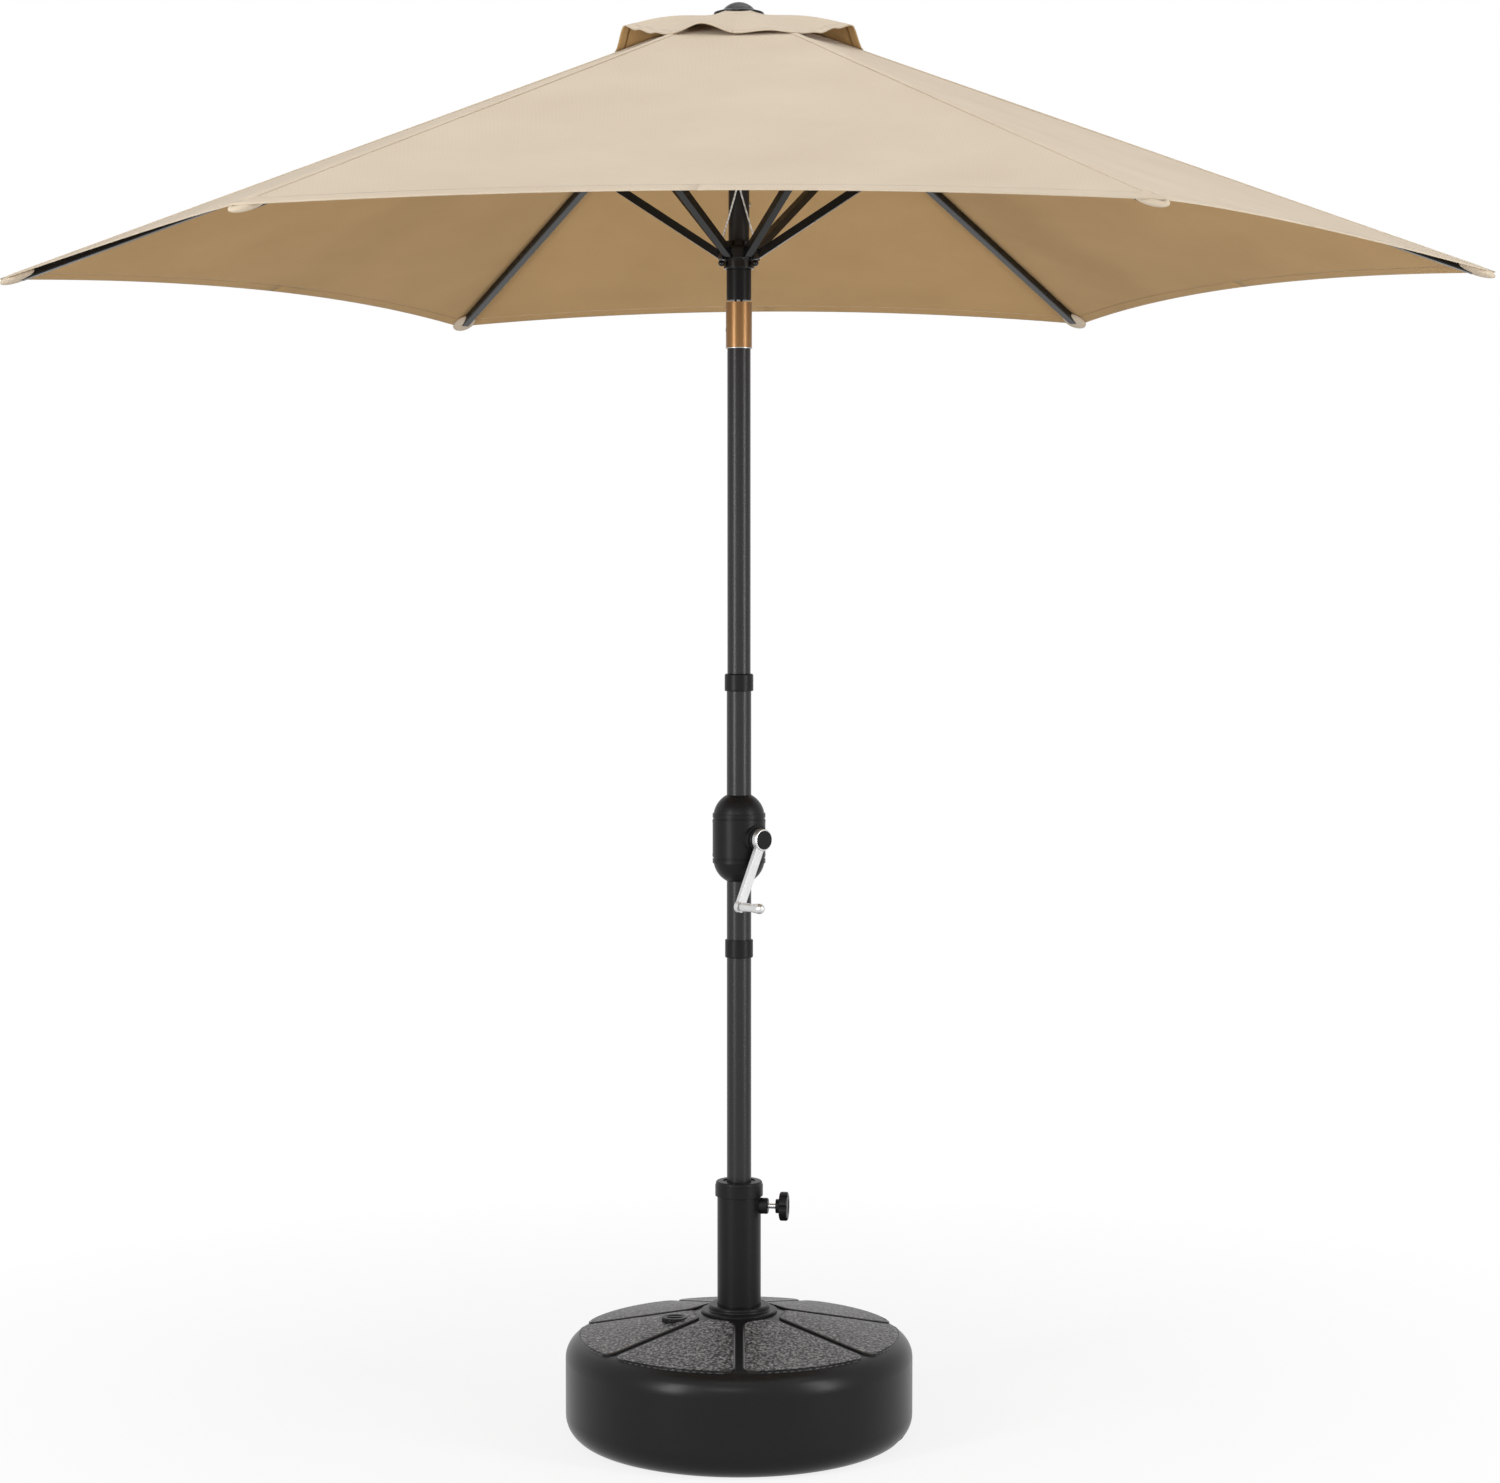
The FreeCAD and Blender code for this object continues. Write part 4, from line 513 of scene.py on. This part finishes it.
def makeSeam(number):
    # The felled seam over a rib: two rounded folds of cloth, lying on the ridge between two panels.
    turn = (number - 1) * 2 * halfAngle

    def spotOf(u, v):
        reach = seamTape["from"] + (seamTape["to"] - seamTape["from"]) * v
        beside = (u - 0.5) * 2 * canopy["seam"]
        drop = abs(beside) * midSlope * math.sin(halfAngle)
        lift = seamTape["crest"] * math.sqrt(max(0.0, 1 - (2 * u - 1) ** 4)) + seamTape["lift"]
        height = clothApex - canopy["slope"] * reach - drop + lift
        return Matrix.Rotation(turn, 3, "Z") @ Vector((reach, beside, height))

    bm = mappedGrid(8, 60, spotOf, lambda u, v: (canopy["seam"] * 2 * u, v))
    seam = newPiece(f"canopy_seam_{number}", bm, (finish["cloth"],), f"rib_{number}")
    addModifier(seam, "SOLIDIFY", thickness=seamTape["thickness"], offset=-1.0)


pocket = {"at": 1122 * mm, "half": (31 * mm, 19 * mm, 7.5 * mm), "below": 7.5 * mm}


def makePocket(number):
    # A sewn pocket holds the end of each rib at the corner of the hem.
    turn = (number - 1) * 2 * halfAngle
    bm = bmesh.new()
    bmesh.ops.create_uvsphere(bm, u_segments=32, v_segments=16, radius=1)
    bmesh.ops.scale(bm, vec=pocket["half"], verts=bm.verts)
    tilt = Matrix.Rotation(math.atan(canopy["slope"]), 4, "Y")
    height = clothApex - canopy["slope"] * pocket["at"] - pocket["below"]
    place = Matrix.Rotation(turn, 4, "Z") @ Matrix.Translation((pocket["at"], 0, height)) @ tilt
    bmesh.ops.transform(bm, matrix=place, verts=bm.verts)
    newPiece(f"canopy_pocket_{number}", bm, (finish["cloth"],), f"rib_{number}")


# "lift" is how high the flap's hem stands all round: degrees from the first rib, and millimetres.
vent = {
    "from": 42 * mm, "radius": 190 * mm, "rise": 2.6 * mm, "hem": 12 * mm, "puff": 0.3, "keep": 0.24,
    "hemThickness": 1.9 * mm, "hemLift": 0.4 * mm, "hemPast": 1.006, "curl": 1.4,
    "lift": ((0, 0), (9, 12), (24, 9), (42, 5), (60, 0), (78, 8), (90, 3), (104, 7), (120, 0), (140, 5),
             (157, 9), (171, 13), (180, 0), (189, 34), (204, 22), (224, 9), (240, 0), (254, 15), (272, 0),
             (288, 4), (300, 0), (318, 8), (336, 22), (351, 32), (360, 0)),
}


def ventLift(angle):
    angle = math.degrees(angle) % 360
    for (start, low), (stop, high) in zip(vent["lift"], vent["lift"][1:]):
        if angle <= stop:
            return (low + (high - low) * ease((angle - start) / (stop - start))) * mm
    return 0.0


def ventSpot(turn, side, u, v):
    spot = panelSpot(turn, side, u, v, vent["from"], vent["radius"], 0.0, clothApex + vent["rise"], 0.0)
    lift = ventLift(math.atan2(spot.y, spot.x))
    spot.z += lift * max(v, 0.0) ** vent["curl"] + vent["puff"] * lift * math.sin(math.pi * v)
    return spot


def makeVent(number, side):
    turn = (number - 1) * 2 * halfAngle
    chord = vent["radius"] * math.sin(halfAngle)
    length = vent["radius"] * shareCos * math.sqrt(1 + midSlope ** 2)
    name = f"vent_flap_{number}_{'a' if side < 0 else 'b'}"
    bm = mappedGrid(
        24, 28,
        lambda u, v: ventSpot(turn, side, u, v),
        lambda u, v: (chord * (1 - u) * v, length * v),
    )
    flap = newPiece(name, bm, (finish["cloth"], finish["lining"]), f"rib_{number}")
    clothLayers(flap, canopy["clothThickness"], False)
    foldAcross(flap)
    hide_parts(f"canopy_gore_{number}")
    first = 1 - vent["hem"] / (length - vent["from"])
    hemLift = Vector((0, 0, vent["hemLift"]))
    bm = mappedGrid(
        24, 4,
        lambda u, v: ventSpot(turn, side, u, first + (vent["hemPast"] - first) * v) + hemLift,
        lambda u, v: (chord * (1 - u), vent["hem"] * v),
    )
    hem = newPiece(name.replace("flap", "hem"), bm, (finish["cloth"], finish["lining"]), f"rib_{number}")
    clothLayers(hem, vent["hemThickness"], True)
    foldAcross(hem)


crownPatch = {"inner": 9 * mm, "outer": 52 * mm, "lift": 3.4 * mm, "thickness": 1.0 * mm}


def makeCrownPatch():
    # A ring of doubled cloth under the finial, which stays with the mast when the ribs fold.
    def spotOf(u, v):
        angle = u * 2 * math.pi
        reach = crownPatch["inner"] + (crownPatch["outer"] - crownPatch["inner"]) * v
        inSixth = (angle + halfAngle) % (2 * halfAngle) - halfAngle
        along = reach * math.cos(halfAngle - abs(inSixth))
        height = clothApex + crownPatch["lift"] - midSlope * along
        return Vector((reach * math.cos(angle), reach * math.sin(angle), height))

    bm = mappedGrid(72, 6, spotOf, lambda u, v: (0.3 * u, 0.043 * v))
    bmesh.ops.remove_doubles(bm, verts=bm.verts, dist=0.01 * mm)
    patch = newPiece("crown_patch", bm, (finish["cloth"], finish["lining"]), "upper")
    addModifier(patch, "SOLIDIFY", thickness=crownPatch["thickness"], offset=-1.0, material_offset=1)


def makeCanopy():
    for number in range(1, canopy["ribs"] + 1):
        for side in (-1, 1):
            makePanel(number, side)
            makeVent(number, side)
        makeSeam(number)
        makePocket(number)
    makeCrownPatch()
    print("canopy made")


# lift cord
liftCord = {"diameter": 2.6 * mm, "length": 119 * mm}


def cordRoute(side):
    return [Vector(point) * mm for point in (
        (side * 1.45, -17.85, 1944.7),
        (side * 2.05, -18.15, 1939.0),
        (side * 6.0, -17.65, 1923.0),
        (side * 22.0, -15.5, 1869.0),
        (side * 25.98, -15.0, 1855.0),
        (side * 25.98, -15.0, 1828.7),
    )]


def makeLiftCord():
    for side, label in ((-1, "a"), (1, "b")):
        points = cordRoute(side)
        curve = bpy.data.curves.new(f"cordRoute_{label}", "CURVE")
        curve.dimensions = "3D"
        spline = curve.splines.new("NURBS")
        spline.points.add(len(points) - 1)
        for spot, point in zip(spline.points, points):
            spot.co = (*point, 1.0)
        spline.order_u = 3
        spline.use_endpoint_u = True
        spline.resolution_u = 12
        route = bpy.data.objects.new(f"cordRoute_{label}", curve)
        scene.collection.objects.link(route)
        bpy.context.view_layer.update()
        line = bpy.data.meshes.new_from_object(route.evaluated_get(bpy.context.evaluated_depsgraph_get()))
        path = [tuple(vertex.co) for vertex in line.vertices]
        curve.bevel_depth = liftCord["diameter"] / 2
        curve.bevel_resolution = 5
        curve.use_fill_caps = True
        bpy.context.view_layer.update()
        mesh = bpy.data.meshes.new_from_object(route.evaluated_get(bpy.context.evaluated_depsgraph_get()))
        bpy.data.objects.remove(route)
        mesh.materials.clear()
        mesh.materials.append(finish["cord"])
        mesh.polygons.foreach_set("use_smooth", [True] * len(mesh.polygons))
        cord = bpy.data.objects.new(f"lift_cord_leg_{label}", mesh)
        scene.collection.objects.link(cord)
        tuple(path[0])
        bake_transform(cord)
        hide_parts("lift_cord_loop")
        tuple(path[0])
    print("lift cord made")


# base
base = {
    "turn": 3.13, "count": 7, "inner": 70 * mm, "outer": 250 * mm, "channel": 11 * mm, "corner": 16 * mm,
    "raise": 3.4 * mm, "crown": 196 * mm, "crownRadius": 60 * mm, "slope": math.tan(math.radians(10.6)),
    "roll": 2.6 * mm,
}


def tankTop(reach):
    return base["crown"] - base["slope"] * (reach - base["crownRadius"])


def wedgeHalfWidth(reach):
    # Half the width of a panel at a distance from the mast, less where its corners are rounded.
    width = reach * math.sin(math.pi / base["count"]) - base["channel"] / 2
    past = max(reach - (base["outer"] - base["corner"]), base["inner"] + base["corner"] - reach, 0.0)
    past = min(past, base["corner"])
    return width - (base["corner"] - math.sqrt(base["corner"] ** 2 - past ** 2))


def makeTankPanel(number):
    # A raised wedge of the tank's top with a rolled edge: grained on top, smooth round its edge.
    middle = math.radians(base["turn"] - 90 + (2 * number - 1) * 180 / base["count"])

    def spotOf(u, v):
        edgeWard = math.sin((v - 0.5) * math.pi) / 2 + 0.5  # rows lie closer at the rounded corners
        reach = base["inner"] + (base["outer"] - base["inner"]) * edgeWard
        lean = middle + math.asin((2 * u - 1) * wedgeHalfWidth(reach) / reach)
        return Vector((reach * math.cos(lean), reach * math.sin(lean), tankTop(reach) + base["raise"]))

    bm = mappedGrid(16, 40, spotOf, lambda u, v: (0.1 * u, 0.18 * v))
    rim = [edge for edge in bm.edges if edge.is_boundary]
    skirt = bmesh.ops.extrude_edge_only(bm, edges=rim)["geom"]
    below = [item for item in skirt if isinstance(item, bmesh.types.BMVert)]
    bmesh.ops.translate(bm, verts=below, vec=(0, 0, -base["raise"] - 0.5 * mm))
    for item in skirt:
        if isinstance(item, bmesh.types.BMFace):
            item.material_index = 1
    bmesh.ops.bevel(bm, geom=rim, affect="EDGES", offset=base["roll"], segments=4, profile=0.5, material=1)
    bmesh.ops.recalc_face_normals(bm, faces=bm.faces)
    newPiece(f"tank_panel_{number}", bm, (finish["grained"], finish["bead"]), "stand")


def makeBase():
    for number in range(1, base["count"] + 1):
        makeTankPanel(number)
    print("base made")


# tilt sleeve trim
trim = {"thick": 0.5 * mm, "tall": 1.6 * mm}


def makeSleeveRing():
    # A thin bright ring closes the lower edge of the copper sleeve.
    low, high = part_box("tilt_sleeve")
    bm = bmesh.new()
    start = bmesh.ops.create_circle(bm, segments=96, radius=(high.x - low.x) / 2 + trim["thick"])["verts"]
    bmesh.ops.translate(bm, verts=start, vec=(0, 0, low.z - trim["tall"] / 2))
    risen = bmesh.ops.extrude_edge_only(bm, edges=bm.edges)["geom"]
    risen = [item for item in risen if isinstance(item, bmesh.types.BMVert)]
    bmesh.ops.translate(bm, verts=risen, vec=(0, 0, trim["tall"]))
    bmesh.ops.recalc_face_normals(bm, faces=bm.faces)
    ring = newPiece("sleeve_ring", bm, (finish["bright"],), "mast")
    addModifier(ring, "SOLIDIFY", thickness=trim["thick"] * 2, offset=-1.0)
    addModifier(ring, "BEVEL", width=0.3 * mm, segments=2)
    print("sleeve ring made")


makeCamera()
makeStudio()
paintFrame()
makeBase()
makeSleeveRing()
makeLiftCord()
makeCanopy()
